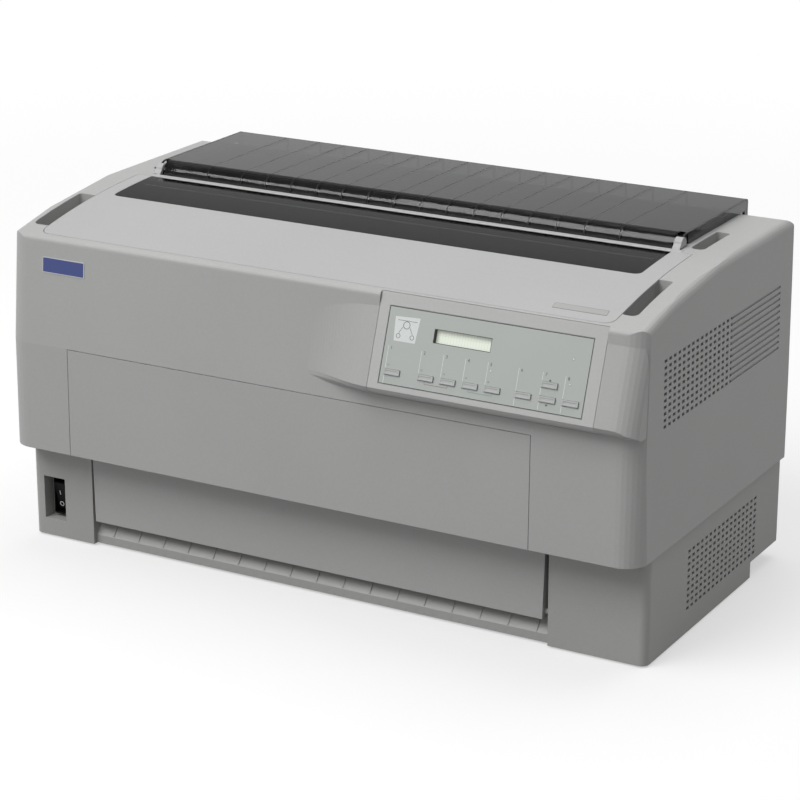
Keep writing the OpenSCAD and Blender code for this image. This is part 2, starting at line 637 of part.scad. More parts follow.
// --- the print mechanism ---
frame_t = 2;
floor_z = base_foot + wall;
screw_y = [-80, 80];
screw_r = 2;
frame_left = -289;                             // inner face of the left frame
frame_right = frame_left + frame_gap;          // inner face of the right frame
platen_y = 48;
platen_z = 285;
shaft_r = 6;
idler_teeth = 75;
front_teeth = 43;
rear_teeth = 39;
pinion_teeth = 15;
gear_w = 8;
gear_x = frame_right + frame_t + 3;
feed_angle = 218.1;                            // from the platen down to the front drive shaft
rear_angle = -29.5;
motor_angle = -55;
function pitch_r(teeth) = gear_module * teeth / 2;
function away(y, z, a, d) = [y + d * cos(a), z + d * sin(a)];
idler = away(platen_y, platen_z, feed_angle, pitch_r(platen_teeth) + pitch_r(idler_teeth));
front_shaft = away(idler[0], idler[1], feed_angle, pitch_r(idler_teeth) + pitch_r(front_teeth));
rear_shaft = away(platen_y, platen_z, rear_angle, pitch_r(platen_teeth) + pitch_r(rear_teeth));
pinion = away(idler[0], idler[1], motor_angle, pitch_r(idler_teeth) + pitch_r(pinion_teeth));
support_gap = 44;                              // from a drive shaft to its support shaft
guide_r = 7;
guide_y = -25;
guide_z = 256;
beam_y = [-94, -42];
beam_z = [226, 240];
belt_r = 10;
belt_z = [247, 253];
belt_y = -62;
belt_x = [-262, 240];
belt_t = 1.2;

// Angle of a tooth on a gear that meshes, in direction a, with one whose tooth is at angle p.
function mesh_phase(p, a, n1, n2) = a + 180 + (a - p) * n1 / n2 + 180 / n2;
idler_phase = mesh_phase(feed_angle, feed_angle, platen_teeth, idler_teeth);
front_phase = mesh_phase(idler_phase, feed_angle, idler_teeth, front_teeth);
rear_phase = mesh_phase(feed_angle, rear_angle, platen_teeth, rear_teeth);
pinion_phase = mesh_phase(idler_phase, motor_angle, idler_teeth, pinion_teeth);

// Involute spur gear: a tooth's centre line is at angle 0.
pressure = 20;
backlash = 0.16;
function involute(rb, r) = let (a = acos(min(1, rb / r))) tan(a) * 180 / PI - a;
module gear_outline(teeth) {
    rp = pitch_r(teeth);
    rb = rp * cos(pressure);
    ra = rp + gear_module * 0.95;
    rf = rp - gear_module * 1.25;
    half = 90 / teeth - backlash / rp * 90 / PI;
    flank = [for (r = [max(rb, rf), (max(rb, rf) + rp) / 2, rp, (rp + ra) / 2, ra])
        [r, half + involute(rb, rp) - involute(rb, r)]];
    polygon([for (k = [0:teeth - 1]) let (c = 360 * k / teeth) each concat(
        [[rf * cos(c - flank[0][1] - 0.2), rf * sin(c - flank[0][1] - 0.2)]],
        [for (p = flank) [p[0] * cos(c - p[1]), p[0] * sin(c - p[1])]],
        [for (i = [4:-1:0]) let (p = flank[i]) [p[0] * cos(c + p[1]), p[0] * sin(c + p[1])]],
        [[rf * cos(c + flank[0][1] + 0.2), rf * sin(c + flank[0][1] + 0.2)]])]);
}

// A gear at (y, z) in the train on the right: a rim, a thinner web and a hub.
module gear(y, z, teeth, phase, bore, web = true) {
    rim = pitch_r(teeth) - 5;
    translate([0, y, z]) rotate([phase, 0, 0]) difference() {
        along_x(gear_x, gear_x + gear_w) gear_outline(teeth);
        rod_x(gear_x - 1, gear_x + gear_w + 1, 0, 0, bore);
        if (web) for (side = [-1, 1]) let (x = gear_x + gear_w / 2 + side * gear_w / 2)
            difference() {
                rod_x(x - 2.2, x + 2.2, 0, 0, rim);
                rod_x(x - 3, x + 3, 0, 0, bore + 4);
            }
    }
}

module side_frame(x0) difference() {
    foot_x = x0 < 0 ? x0 : x0 + frame_t - 22;
    union() {
        along_x(x0, x0 + frame_t) polygon([
            [-128, 6], [-128, 215], [-100, 246], [-50, 248], [-20, 300], [10, 318], [80, 318], [100, 300],
            [150, 300], [166, 284], [166, 40], [134, 24], [98, 24], [98, 6]]);
        // folded foot, screwed to the floor of the lower case
        block([foot_x, -96, floor_z], [foot_x + 22, 96, floor_z + frame_t]);
        block([x0, -96, floor_z], [x0 + frame_t, 96, 10]);
    }
    rod_x(x0 - 1, x0 + 5, platen_y, platen_z, shaft_r + run);
    rod_x(x0 - 1, x0 + 5, guide_y, guide_z, guide_r);
    rod_x(x0 - 1, x0 + 5, front_shaft[0], front_shaft[1], shaft_r + run);
    rod_x(x0 - 1, x0 + 5, front_shaft[0], front_shaft[1] + support_gap, 5);
    rod_x(x0 - 1, x0 + 5, rear_shaft[0], rear_shaft[1], shaft_r + run);
    rod_x(x0 - 1, x0 + 5, rear_shaft[0] + support_gap, rear_shaft[1], 5);
    // lightening windows
    for (w = [[-95, 60, 30], [-20, 60, 34], [60, 80, 34], [120, 120, 26]])
        rod_x(x0 - 1, x0 + 5, w[0], w[1], w[2]);
    if (x0 > 0) {
        rod_x(x0 - 1, x0 + 5, pinion[0], pinion[1], 11);
        for (a = [45:90:315]) let (p = away(pinion[0], pinion[1], a, 33)) rod_x(x0 - 1, x0 + 5, p[0], p[1], 2);
    }
    for (y = screw_y) translate([x0 < 0 ? x0 + 14 : x0 + frame_t - 14, y, 0]) cylinder(r = screw_r, h = 20);
}
module side_frame_left() color(steel) side_frame(frame_left - frame_t);
module side_frame_right() color(steel) {
    side_frame(frame_right);
    // fixed stud for the idler gear
    rod_x(frame_right + frame_t - eps, gear_x + gear_w + 2, idler[0], idler[1], 4);
}

module frame_beam() color(steel) difference() {
    along_x(frame_left, frame_right) polygon([
        [beam_y[0], beam_z[0]], [beam_y[0], beam_z[1]], [beam_y[1], beam_z[1]], [beam_y[1], beam_z[0]],
        [beam_y[1] - 2, beam_z[0]], [beam_y[1] - 2, beam_z[1] - 2], [beam_y[0] + 2, beam_z[1] - 2],
        [beam_y[0] + 2, beam_z[0]]]);
    translate([belt_x[1], belt_y, 200]) cylinder(r = 9.2, h = 60);
    // the rear lip stops short of the motor
    block([belt_x[1] - 23.5, beam_y[1] - 3, beam_z[0] - 1], [belt_x[1] + 23.5, beam_y[1] + 1, beam_z[1] - 2]);
    for (x = [-200:60:160]) translate([x, belt_y, 200]) cylinder(r = 9, h = 60);
    translate([belt_x[0], belt_y, 200]) cylinder(r = 3, h = 60);
}

module carriage_shaft() color(steel)
    rod_x(frame_left - frame_t - 4, frame_right + frame_t, guide_y, guide_z, guide_r);

module support_shafts() color(steel) {
    rod_x(frame_left - frame_t - 3, frame_right + frame_t, front_shaft[0], front_shaft[1] + support_gap, 5);
    rod_x(frame_left - frame_t - 3, frame_right + frame_t, rear_shaft[0] + support_gap, rear_shaft[1], 5);
    translate([belt_x[0], belt_y, beam_z[1] - 2]) cylinder(r = 3, h = belt_z[1] - beam_z[1] + 4);
}

module belt_outline(r) {
    translate([belt_x[0], belt_y]) circle(r = r);
    translate([belt_x[1], belt_y]) circle(r = r);
    translate([belt_x[0], belt_y - r]) square([belt_x[1] - belt_x[0], 2 * r]);
}
module timing_belt() color(rubber) translate([0, 0, belt_z[0]]) linear_extrude(belt_z[1] - belt_z[0])
    difference() { belt_outline(belt_r + belt_t); belt_outline(belt_r + run); }

module pulley(x, bore) translate([x, belt_y, 0]) difference() {
    union() {
        translate([0, 0, belt_z[0] - 2]) cylinder(r = belt_r + 2.5, h = 1.7);
        translate([0, 0, belt_z[0] - 1]) cylinder(r = belt_r, h = belt_z[1] - belt_z[0] + 2);
        translate([0, 0, belt_z[1] + 0.3]) cylinder(r = belt_r + 2.5, h = 1.7);
    }
    translate([0, 0, 200]) cylinder(r = bore, h = 100);
}
module motor_pulley() color(gear_white) pulley(belt_x[1], 3 + run);
module idler_pulley() color(gear_white) pulley(belt_x[0], 3 + run);

module motor_body(size, length) {
    difference() {
        translate([-size / 2, -size / 2, 0]) cube([size, size, length]);
        for (a = [45:90:315]) rotate(a) translate([size * 0.68, -3, -1]) cube([9, 6, length + 2]);
    }
    translate([0, 0, length - eps]) cylinder(r = size * 0.19, h = 2);
}
module carriage_motor() color(dark) translate([belt_x[1], belt_y, beam_z[1] - 2.1 - 44]) {
    motor_body(46, 44);
    cylinder(r = 3, h = belt_z[1] + 3 - beam_z[1] + 46);
}
module feed_motor() color(dark) translate([frame_right - 48.05, pinion[0], pinion[1]]) rotate([0, 90, 0]) {
    motor_body(54, 48);
    cylinder(r = 3, h = gear_x + gear_w - frame_right + 48);
}
module feed_pinion() color(gear_white) gear(pinion[0], pinion[1], pinion_teeth, pinion_phase, 3 + run, false);
module idler_gear() color(gear_white) gear(idler[0], idler[1], idler_teeth, idler_phase, 4 + run);
module platen_gear() color(gear_white) gear(platen_y, platen_z, platen_teeth, feed_angle, shaft_r);

platen_x = [-250, 234];
module platen() color(rubber) {
    rod_x(platen_x[0], platen_x[1], platen_y, platen_z, platen_r);
    rod_x(frame_left - frame_t - 5, gear_x + gear_w + 3, platen_y, platen_z, shaft_r);
}
module drive_shaft(p, teeth, phase) {
    rod_x(frame_left - frame_t - 5, gear_x + gear_w + 3, p[0], p[1], shaft_r);
    gear(p[0], p[1], teeth, phase, shaft_r - 0.5);
}
module front_drive_shaft() color(steel) drive_shaft(front_shaft, front_teeth, front_phase);
module rear_drive_shaft() color(steel) drive_shaft(rear_shaft, rear_teeth, rear_phase);

// --- tractors, drawn upright with their paper side towards -Y and the drive shaft at the origin ---
belt_edge = 13;
hinge_y = -17.5;                                // hinge of a tractor cover
lever_l = 16;
module stadium(r) {
    circle(r = r);
    translate([0, support_gap]) circle(r = r);
    translate([-r, 0]) square([2 * r, support_gap]);
}
module tractor_body() difference() {
    union() {
        along_x(-22, -5) stadium(14);                       // bearing block
        along_x(-5.1, -3) stadium(belt_edge - 1);
        along_x(-3, 3) stadium(belt_edge + 1.2);             // pin belt on its sprockets
        along_x(3, 5) stadium(belt_edge - 1);
        for (k = [0:3]) translate([0, -belt_edge - 0.8, 3 + k * 12.7]) rotate([90, 0, 0])
            cylinder(r1 = 2, r2 = 1.1, h = 2.6);
        along_x(5, 9) stadium(14);
        // knuckles of the cover's hinge
        for (z = [1, support_gap - 9]) {
            block([-27.6, -17.5, z], [-21, -4, z + 8]);
            translate([-25, hinge_y, z]) cylinder(r = 2.6, h = 8);
        }
    }
    rod_x(-40, 40, 0, 0, shaft_r + run);
    rod_x(-40, 40, 0, support_gap, 5 + run);
    translate([-25, hinge_y, -5]) cylinder(r = 1.2 + run, h = support_gap + 10);
}
module tractor_cover() {
    difference() {
        union() {
            block([-25, -20, -8], [9, hinge_y - 0.2, support_gap + 8]);
            translate([-25, hinge_y, 13.2]) cylinder(r = 2.6, h = support_gap - 26.4);
        }
        block([-3.5, -25, -4], [3.5, -10, support_gap + 4]);     // slot over the pins
        translate([-28, -20.2, -9]) cube([6.2, 5.5, 22]);
        translate([-28, -20.2, support_gap - 13]) cube([6.2, 5.5, 22]);
    }
    translate([-25, hinge_y, 1]) cylinder(r = 1.2, h = support_gap - 2);
}
module tractor_lever() difference() {
    union() {
        translate([9.4, 0, support_gap]) rotate([0, 90, 0]) cylinder(r = 9, h = 4);
        along_x(9.4, 13.4) polygon([[-4, support_gap], [-2.5, support_gap + lever_l],
                                    [2.5, support_gap + lever_l], [4, support_gap]]);
        block([9.4, -3, support_gap + lever_l - 4], [19, 3, support_gap + lever_l]);
    }
    rod_x(0, 30, 0, support_gap, 5 + run);
}
front_tractor_x = [-205, 185];
rear_tractor_x = [-205, 185];
module front_place(k) translate([front_tractor_x[k], front_shaft[0], front_shaft[1]])
    mirror([k, 0, 0]) children();
module rear_place(k) translate([rear_tractor_x[k], rear_shaft[0], rear_shaft[1]])
    rotate([-90, 0, 0]) mirror([k, 0, 0]) children();
module tractor_front_left() color(black_plastic) front_place(0) tractor_body();
module tractor_front_right() color(black_plastic) front_place(1) tractor_body();
module tractor_rear_left() color(black_plastic) rear_place(0) tractor_body();
module tractor_rear_right() color(black_plastic) rear_place(1) tractor_body();
module tractor_front_left_cover() color(dark) front_place(0) tractor_cover();
module tractor_front_right_cover() color(dark) front_place(1) tractor_cover();
module tractor_rear_left_cover() color(dark) rear_place(0) tractor_cover();
module tractor_rear_right_cover() color(dark) rear_place(1) tractor_cover();
module tractor_front_left_lever() color("#5a7fb0") front_place(0) tractor_lever();
module tractor_front_right_lever() color("#5a7fb0") front_place(1) tractor_lever();
module tractor_rear_left_lever() color("#5a7fb0") rear_place(0) tractor_lever();
module tractor_rear_right_lever() color("#5a7fb0") rear_place(1) tractor_lever();

// --- carriage, print head and ribbon ---
carriage_x = 150;
head_nose_y = platen_y - platen_r - 2.6;
module carriage() color(black_plastic) difference() {
    union() {
        block([carriage_x - 40, guide_y - 14, 243], [carriage_x + 40, guide_y + 14, 271]);
        block([carriage_x - 30, -90, 257], [carriage_x + 30, guide_y, 263]);
        block([carriage_x - 30, -90, beam_z[1] + 0.4], [carriage_x + 30, -82, 258]);    // front foot
        block([carriage_x - 14, -84, 243.5], [carriage_x + 14, -68, 258]);               // belt clamp
        block([carriage_x - 34, guide_y + 10, 262], [carriage_x + 34, 12, 268]);         // head seat
    }
    rod_x(carriage_x - 50, carriage_x + 50, guide_y, guide_z, guide_r + run);
    block([carriage_x - 20, belt_y - belt_r - belt_t - 0.5, belt_z[0] - 0.5],
          [carriage_x + 20, belt_y - belt_r + 0.5, belt_z[1] + 0.5]);
    block([carriage_x - 20, belt_y - belt_r - 0.6, belt_z[0] - 0.5], [carriage_x + 20, -60, belt_z[1] + 0.5]);
}
module print_head() color("#8f9296") difference() {
    union() {
        for (k = [0:8]) block([carriage_x - 27, -40 + k * 5.2, 271], [carriage_x + 27, -38 + k * 5.2, 312]);
        block([carriage_x - 23, -40, 271], [carriage_x + 23, 6, 308]);
        translate([carriage_x, 5.9, 285]) rotate([-90, 0, 0]) cylinder(r1 = 17, r2 = 9, h = 9);
        block([carriage_x - 6, 10, 277], [carriage_x + 6, head_nose_y, 293]);
    }
    block([carriage_x - 50, -45, 260], [carriage_x + 50, 9, 271]);
}

ribbon_x = [-280, 264];
ribbon_z = [286, 316];
ribbon_y = 28;                                 // the ribbon runs just in front of the platen
arm_w = 24;
module ribbon_cartridge() color(black_plastic) difference() {
    union() {
        translate([0, 0, ribbon_z[0]]) linear_extrude(ribbon_z[1] - ribbon_z[0]) {
            plan(ribbon_x[0], ribbon_x[1], -128, -60, 10, 6);
            plan(ribbon_x[0], ribbon_x[0] + arm_w, -80, ribbon_y + 3, 4, 6);
            plan(ribbon_x[1] - arm_w, ribbon_x[1], -80, ribbon_y + 3, 4, 6);
        }
        // tips that hold the ribbon down at the height of the print line
        for (x = [ribbon_x[0] + arm_w - 8, ribbon_x[1] - arm_w])
            block([x, ribbon_y - 5, 276], [x + 8, ribbon_y + 1, 290]);
    }
    // round steps of the lid over the spools
    for (x = [-180:60:180]) translate([x, -94, ribbon_z[1] - 1.2]) cylinder(r = 24, h = 4);
    translate([knob_x, knob_y, ribbon_z[0] + 5]) cylinder(r = 4 + run, h = 40);
}
module ribbon_band() color(rubber)
    block([ribbon_x[0] + arm_w, ribbon_y, 279], [ribbon_x[1] - arm_w, ribbon_y + 0.3, 291]);
knob_x = ribbon_x[0] + 12;
knob_y = -20;
module ribbon_knob() color(dark) translate([knob_x, knob_y, 0]) {
    translate([0, 0, ribbon_z[0] + 6]) cylinder(r = 4, h = ribbon_z[1] - ribbon_z[0]);
    translate([0, 0, ribbon_z[1] + 0.5]) difference() {
        cylinder(r = 8, h = 6);
        for (a = [0:30:330]) rotate(a) translate([8.4, 0, -1]) cylinder(r = 1.2, h = 9);
    }
}

// --- electrics ---
module power_supply() color(steel) difference() {
    block([100, -50, floor_z], [245, 92, 66]);
    block([102, -48, floor_z + 2], [243, 90, 67]);
    for (k = [0:8]) block([113 + k * 14, -55, 22], [119 + k * 14, 100, 50]);
}
module main_board() color(pcb_green) {
    difference() {
        block([-245, -80, 26], [90, 160, 27.6]);
        for (x = board_screw_x, y = board_screw_y) translate([x, y, 0]) cylinder(r = 2, h = 40);
    }
    for (c = [[-120, -20, 28, 28], [-60, 20, 22, 34], [-150, 60, 40, 18], [10, 40, 30, 12], [30, -40, 24, 24]])
        block([c[0], c[1], 27.6 - eps], [c[0] + c[2], c[1] + c[3], 31.5]);
    for (k = [0:3]) translate([-30 + k * 22, 90, 27.6 - eps]) cylinder(r = 8, h = 26);
    for (p = [ports[0], ports[1]]) difference() {
        block([p[0] + 0.5, 140, 27.6 - eps], [p[0] + p[2] - 0.5, 173, p[1] + p[3] - 0.5]);
        block([p[0] + 2, 158, p[1] + 2], [p[0] + p[2] - 2, 180, p[1] + p[3] - 2]);
    }
    for (x = board_screw_x, y = board_screw_y) translate([x, y, 13 + eps]) cylinder(r = 4, h = 13);
}
module ac_inlet() color(dark) translate([ports[2][0] + ports[2][2] / 2, 0, ports[2][1] + ports[2][3] / 2]) {
    difference() {
        union() {
            block([-13.7, 155, -10.2], [13.7, base_back + 0.5, 10.2]);
            block([-24, base_back, -12], [24, base_back + 2, 12]);
        }
        translate([-12, 163, -8.5]) cube([24, 20, 17]);
    }
    for (x = [-7, 0, 7]) translate([x, 162, x == 0 ? 3 : -2]) rotate([-90, 0, 0]) cylinder(r = 1.6, h = 10);
}
module power_rocker() color(dark) translate([rocker_x, rocker_y, rocker_z]) {
    along_x(-6.2, 6.2) polygon([[-7, 0], [-10.5, 14.5], [-9, 15.8], [-1, 15.8], [3, 8], [3, -8],
                                [-1, -15.8], [-4, -15.8], [-4.5, -14.5]]);
    rod_x(-8.5, 8.5, 0, 0, rocker_pin_r);
}

// --- feet and screws ---
module feet() color(rubber) for (x = [-315, 315], y = [-120, 80])
    translate([x, y, 0]) cylinder(r = 12, h = base_foot);
module screws() color(steel)
    for (x = [frame_left - frame_t + 14, frame_right + frame_t - 14], y = screw_y)
        translate([x, y, floor_z]) {
            cylinder(r = screw_r, h = frame_t);
            translate([0, 0, frame_t]) cylinder(r = 4, h = 2.6);
        }

lower_case();
upper_housing();
hinge_bar();
control_panel();
panel_overlay();
panel_board();
paper_guide();
side_frame_left();
side_frame_right();
frame_beam();
carriage_shaft();
support_shafts();
timing_belt();
carriage_motor();
feed_motor();
power_supply();
main_board();
ac_inlet();
feet();
screws();
ribbon_cartridge();
ribbon_band();
printer_cover();
cover_window();
eject_cover();
front_cover();
rear_cover();
power_rocker();
button_1();
button_2();
button_3();
button_4();
button_5();
button_6();
button_7();
button_8();
button_9();
platen();
platen_gear();
feed_pinion();
idler_gear();
front_drive_shaft();
rear_drive_shaft();
carriage();
print_head();
motor_pulley();
idler_pulley();
ribbon_knob();
tractor_front_left();
tractor_front_left_cover();
tractor_front_left_lever();
tractor_front_right();
tractor_front_right_cover();
tractor_front_right_lever();
tractor_rear_left();
tractor_rear_left_cover();
tractor_rear_left_lever();
tractor_rear_right();
tractor_rear_right_cover();
tractor_rear_right_lever();
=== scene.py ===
"""Looks of a heavy-duty wide-carriage dot matrix printer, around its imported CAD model.

The CAD carries the shapes. This script gives each node its finish, and adds what is printed,
applied or drawn: bare plates, panel graphics and display, and the lines of the smoked covers.
+X is right, +Y is back and +Z is up. Lengths are in millimetres; finished meshes and the studio
are in metres, unless a name ends in _mm.
"""

import logging
import math
from dataclasses import dataclass
from enum import Enum
from typing import Any, Sequence

import bpy
import numpy as np
from mathutils import Matrix


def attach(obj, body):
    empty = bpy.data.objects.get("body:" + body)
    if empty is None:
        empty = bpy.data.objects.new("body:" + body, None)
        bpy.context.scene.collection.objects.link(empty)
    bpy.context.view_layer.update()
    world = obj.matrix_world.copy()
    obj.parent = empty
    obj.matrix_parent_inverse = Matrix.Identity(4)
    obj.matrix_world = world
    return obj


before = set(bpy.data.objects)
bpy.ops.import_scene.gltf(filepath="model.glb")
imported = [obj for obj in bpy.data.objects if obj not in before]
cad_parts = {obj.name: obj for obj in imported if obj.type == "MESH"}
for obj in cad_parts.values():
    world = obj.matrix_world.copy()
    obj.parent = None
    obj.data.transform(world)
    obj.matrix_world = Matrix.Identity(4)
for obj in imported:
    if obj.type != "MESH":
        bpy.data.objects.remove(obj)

LOG = logging.getLogger("printer")
MM = 0.001
LOG_THREE = 1.1  # natural logarithm of 3: absorption that leaves a third of the light
TINY = 1e-9  # keeps a length of zero from dividing
INK = 0.06  # height of ink over the film it is printed on
INK_FOOT = -0.05  # printed marks reach this far under their plane, so that none floats
DIGIT_SHARE = 0.7  # height of a digit, as a share of the font's size
Array = np.ndarray
Mesh = bpy.types.Mesh
Socket = bpy.types.NodeSocket
Point = tuple[float, float]
Place = tuple[float, float, float]


# ---------------- shader helpers
def linear(code: str) -> tuple[float, float, float, float]:
    """Turns an sRGB hex colour into the linear colour that shaders take.

    Args:
        code: colour such as "#a3a3a0".

    Returns:
        Linear red, green and blue, and an alpha of 1.
    """
    channels = [int(code[i : i + 2], 16) / 255 for i in (1, 3, 5)]
    low = [c / 12.92 if c <= 0.04045 else ((c + 0.055) / 1.055) ** 2.4 for c in channels]
    return low[0], low[1], low[2], 1.0


def per_mm(size_mm: float) -> float:
    """The texture scale at which one feature of a pattern is size_mm across."""
    return 1.0 / (size_mm * MM)


class Way(Enum):
    """How a value goes from one end of a range to the other."""

    EVEN = "LINEAR"
    EASED = "SMOOTHSTEP"


class Nodes:
    """The shader nodes of one material or world."""

    def __init__(self, owner: bpy.types.ID) -> None:
        """Turns on the owner's nodes and empties its tree.

        Args:
            owner: the material or world.
        """
        owner.use_nodes = True
        self.tree = owner.node_tree
        self.tree.nodes.clear()

    def node(self, kind: str, inputs: dict | None = None, **settings: Any) -> bpy.types.Node:
        """Adds one node, sets its properties and feeds its sockets.

        Args:
            kind: node type without its "ShaderNode" prefix.
            inputs: socket name or number, against a value or another node's output socket.
            settings: properties of the node itself.

        Returns:
            The new node.
        """
        node = self.tree.nodes.new("ShaderNode" + kind)
        for name, value in settings.items():
            setattr(node, name, value)
        for name, value in (inputs or {}).items():
            self.connect(node.inputs[name], value)
        return node

    def connect(self, socket: Socket, value: Any) -> None:
        """Links an output socket to a socket, or sets the socket to a plain value.

        Args:
            socket: the input.
            value: what it gets.
        """
        if isinstance(value, Socket):
            self.tree.links.new(value, socket)
        else:
            socket.default_value = value

    def maths(self, operation: str, first: Socket, second: Socket | float) -> Socket:
        """Gives the result of a calculation with two values."""
        return self.node("Math", {0: first, 1: second}, operation=operation).outputs[0]

    def mixed(self, factor: Socket, first: Any, second: Any) -> Socket:
        """Gives the first colour where factor is 0 and the second where it is 1."""
        inputs = {"Factor": factor, "A": first, "B": second}
        return self.node("Mix", inputs, data_type="RGBA").outputs["Result"]

    def ranged(self, value: Socket, low: Any, high: Any, span: Point = (0, 1),
               way: Way = Way.EVEN) -> Socket:
        """Maps a value that runs over span to the range from low to high, in the given way."""
        return self.node("MapRange", {"Value": value, "From Min": span[0], "From Max": span[1],
                                      "To Min": low, "To Max": high},
                         interpolation_type=way.value).outputs[0]


class Recipe(Nodes):
    """A material under construction, with a main shader and the piece's own coordinates."""

    def __init__(self, name: str) -> None:
        """Makes the material with one Principled shader on Object coordinates.

        Args:
            name: name of the material.
        """
        self.material = bpy.data.materials.new(name)
        super().__init__(self.material)
        self.shader = self.node("BsdfPrincipled")
        self.output = self.node("OutputMaterial", {"Surface": self.shader.outputs[0]})
        self.place = self.node("TexCoord").outputs["Object"]

    def noise(self, size_mm: float, detail: float, stretch: Sequence[float] = ()) -> Socket:
        """Gives a random pattern between 0 and 1.

        Args:
            size_mm: width of its features.
            detail: how many finer layers lie on top.
            stretch: factors for X, Y and Z; a small one draws the pattern out along that axis.

        Returns:
            The pattern.
        """
        place = self.place
        if stretch:
            place = self.node("Mapping", {"Vector": place, "Scale": stretch}).outputs[0]
        inputs = {"Vector": place, "Scale": per_mm(size_mm), "Detail": detail}
        return self.node("TexNoise", inputs).outputs[0]

    def shaded(self, colour: str, pattern: Socket, tones: Point, span: Point = (0, 1)) -> Socket:
        """Gives a colour, its brightness multiplied by the tones as pattern runs over span."""
        inputs = {"Color": linear(colour), "Value": self.ranged(pattern, *tones, span)}
        return self.node("HueSaturation", inputs).outputs[0]

    def feed(self, **sockets: Any) -> None:
        """Sets or links sockets of the main shader; underscores in the names stand for spaces."""
        for name, value in sockets.items():
            self.connect(self.shader.inputs[name.replace("_", " ")], value)

    def relief(self, height: Socket, depth_mm: float, soft_mm: float = 0.0) -> None:
        """Turns a height between 0 and 1 into bump on the main shader.

        Args:
            height: height pattern.
            depth_mm: depth that a full step of the pattern stands for.
            soft_mm: radius that the shading of sharp edges is rounded to, or 0.
        """
        bump = self.node("Bump", {"Height": height, "Distance": depth_mm * MM, "Strength": 1.0})
        if soft_mm:
            edge = self.node("Bevel", {"Radius": soft_mm * MM}, samples=4)
            self.connect(bump.inputs["Normal"], edge.outputs[0])
        self.feed(Normal=bump.outputs[0])


# ---------------- finishes
@dataclass(frozen=True)
class Finish:
    """What all finishes share: a name, and a material that starts from an empty recipe."""

    name: str

    def build(self) -> bpy.types.Material:
        """Builds the material.

        Returns:
            The material.
        """
        r = Recipe(self.name)
        self.fill(r)
        return r.material

    def fill(self, r: Recipe) -> None:
        """Puts into the recipe what this kind of finish is made of; each kind has its own."""
        raise NotImplementedError


@dataclass(frozen=True)
class MouldedAbs(Finish):
    """Injection-moulded ABS from a spark-eroded mould: an even, matt, directionless grain."""

    colour: str
    roughness: float = 0.5
    grain_mm: float = 1.1  # real grain is about 0.2 mm; drawn coarser so that it shows
    grain_depth_mm: float = 0.035
    drift_mm: float = 120.0  # flow marks and ageing change the tone slowly,
    fleck_mm: float = 2.6  # with fine flecks over them,
    mottle: float = 0.035  # and by this much
    edge_mm: float = 0.7  # radius that the mould leaves on outer edges
    sheen: float = 0.5  # specular level; lower where pigment and texture kill the shine

    def fill(self, r: Recipe) -> None:
        """Adds the grain and the drift of tone; two noises together keep near 1.

        Args:
            r: recipe of the material.
        """
        grain = r.noise(self.grain_mm, detail=3)
        both = r.maths("ADD", r.noise(self.drift_mm, detail=2), r.noise(self.fleck_mm, detail=2))
        tint = r.shaded(self.colour, both, (1 - self.mottle, 1 + self.mottle), span=(0.6, 1.4))
        rough = r.ranged(grain, self.roughness - 0.05, self.roughness + 0.06, span=(0.3, 0.7))
        r.feed(Base_Color=tint, Roughness=rough, IOR=1.54, Specular_IOR_Level=self.sheen)
        r.relief(grain, self.grain_depth_mm, self.edge_mm)


@dataclass(frozen=True)
class SmokedStyrene(Finish):
    """Clear polystyrene with grey dye from a polished mould: glossy, and darker where thicker."""

    dye: str  # colour that the dye lets through
    depth_mm: float  # thickness that light is cut to a third by
    ior: float = 1.45
    roughness: float = 0.025

    def fill(self, r: Recipe) -> None:
        """Adds clear plastic with faint flow lines, which absorbs light on its way through.

        Args:
            r: recipe of the material.
        """
        flow = r.noise(45, detail=2, stretch=(0.35, 1, 1))
        rough = r.ranged(flow, self.roughness * 0.5, self.roughness * 1.6)
        r.feed(Base_Color=linear("#f2f4f4"), Roughness=rough, IOR=self.ior, Transmission_Weight=1.0)
        absorb = r.node("VolumeAbsorption", {"Color": linear(self.dye),
                                             "Density": LOG_THREE / (self.depth_mm * MM)})
        r.connect(r.output.inputs["Volume"], absorb.outputs[0])


@dataclass(frozen=True)
class Surface(Finish):
    """An opaque finish: one noise varies its tone, and another one its gloss and relief.

    A noise is given by its size in mm, its detail and, where it is drawn out, its stretch.
    """

    colour: str
    roughness: float = 0.5
    metal: float = 0.0
    tone: tuple = ()
    tones: Point = (1.0, 1.0)  # what the colour's brightness is multiplied by
    grain: tuple = ()
    matting: Point = (0.0, 0.0)  # what the grain adds to the roughness
    depth_mm: float = 0.0  # how deep the grain is
    soft_mm: float = 0.0  # radius of the edges
    sockets: tuple = ()  # other settings of the shader

    def fill(self, r: Recipe) -> None:
        """Adds the tone, the grain and the shader's settings.

        Args:
            r: recipe of the material.
        """
        colour, rough = linear(self.colour), self.roughness
        if self.tone:
            colour = r.shaded(self.colour, r.noise(*self.tone), self.tones)
        if self.grain:
            grain = r.noise(*self.grain)
            r.relief(grain, self.depth_mm, self.soft_mm)
            if any(self.matting):
                rough = r.ranged(grain, rough + self.matting[0], rough + self.matting[1])
        r.feed(Base_Color=colour, Roughness=rough, Metallic=self.metal, **dict(self.sockets))


@dataclass(frozen=True)
class SmokedStyreneEdge(Surface):
    """An opaque line of painted light in the smoked plastic: near-black by default, painting the
    shade seen down a web's depth; given a paler colour, it paints a highlight.
    """

    colour: str = "#0b0c0c"
    roughness: float = 0.3
    tone: tuple = (18, 1)
    tones: Point = (0.8, 1.25)
    sockets: tuple = (("IOR", 1.5),)


@dataclass(frozen=True)
class PrintedFilm(Surface):
    """Polycarbonate overlay film with velvet texture, printed from behind: flat, soft sheen."""

    roughness: float = 0.42
    tone: tuple = (60, 1)
    tones: Point = (0.97, 1.03)
    grain: tuple = (0.7, 2)
    depth_mm: float = 0.012
    sockets: tuple = (("IOR", 1.58),)


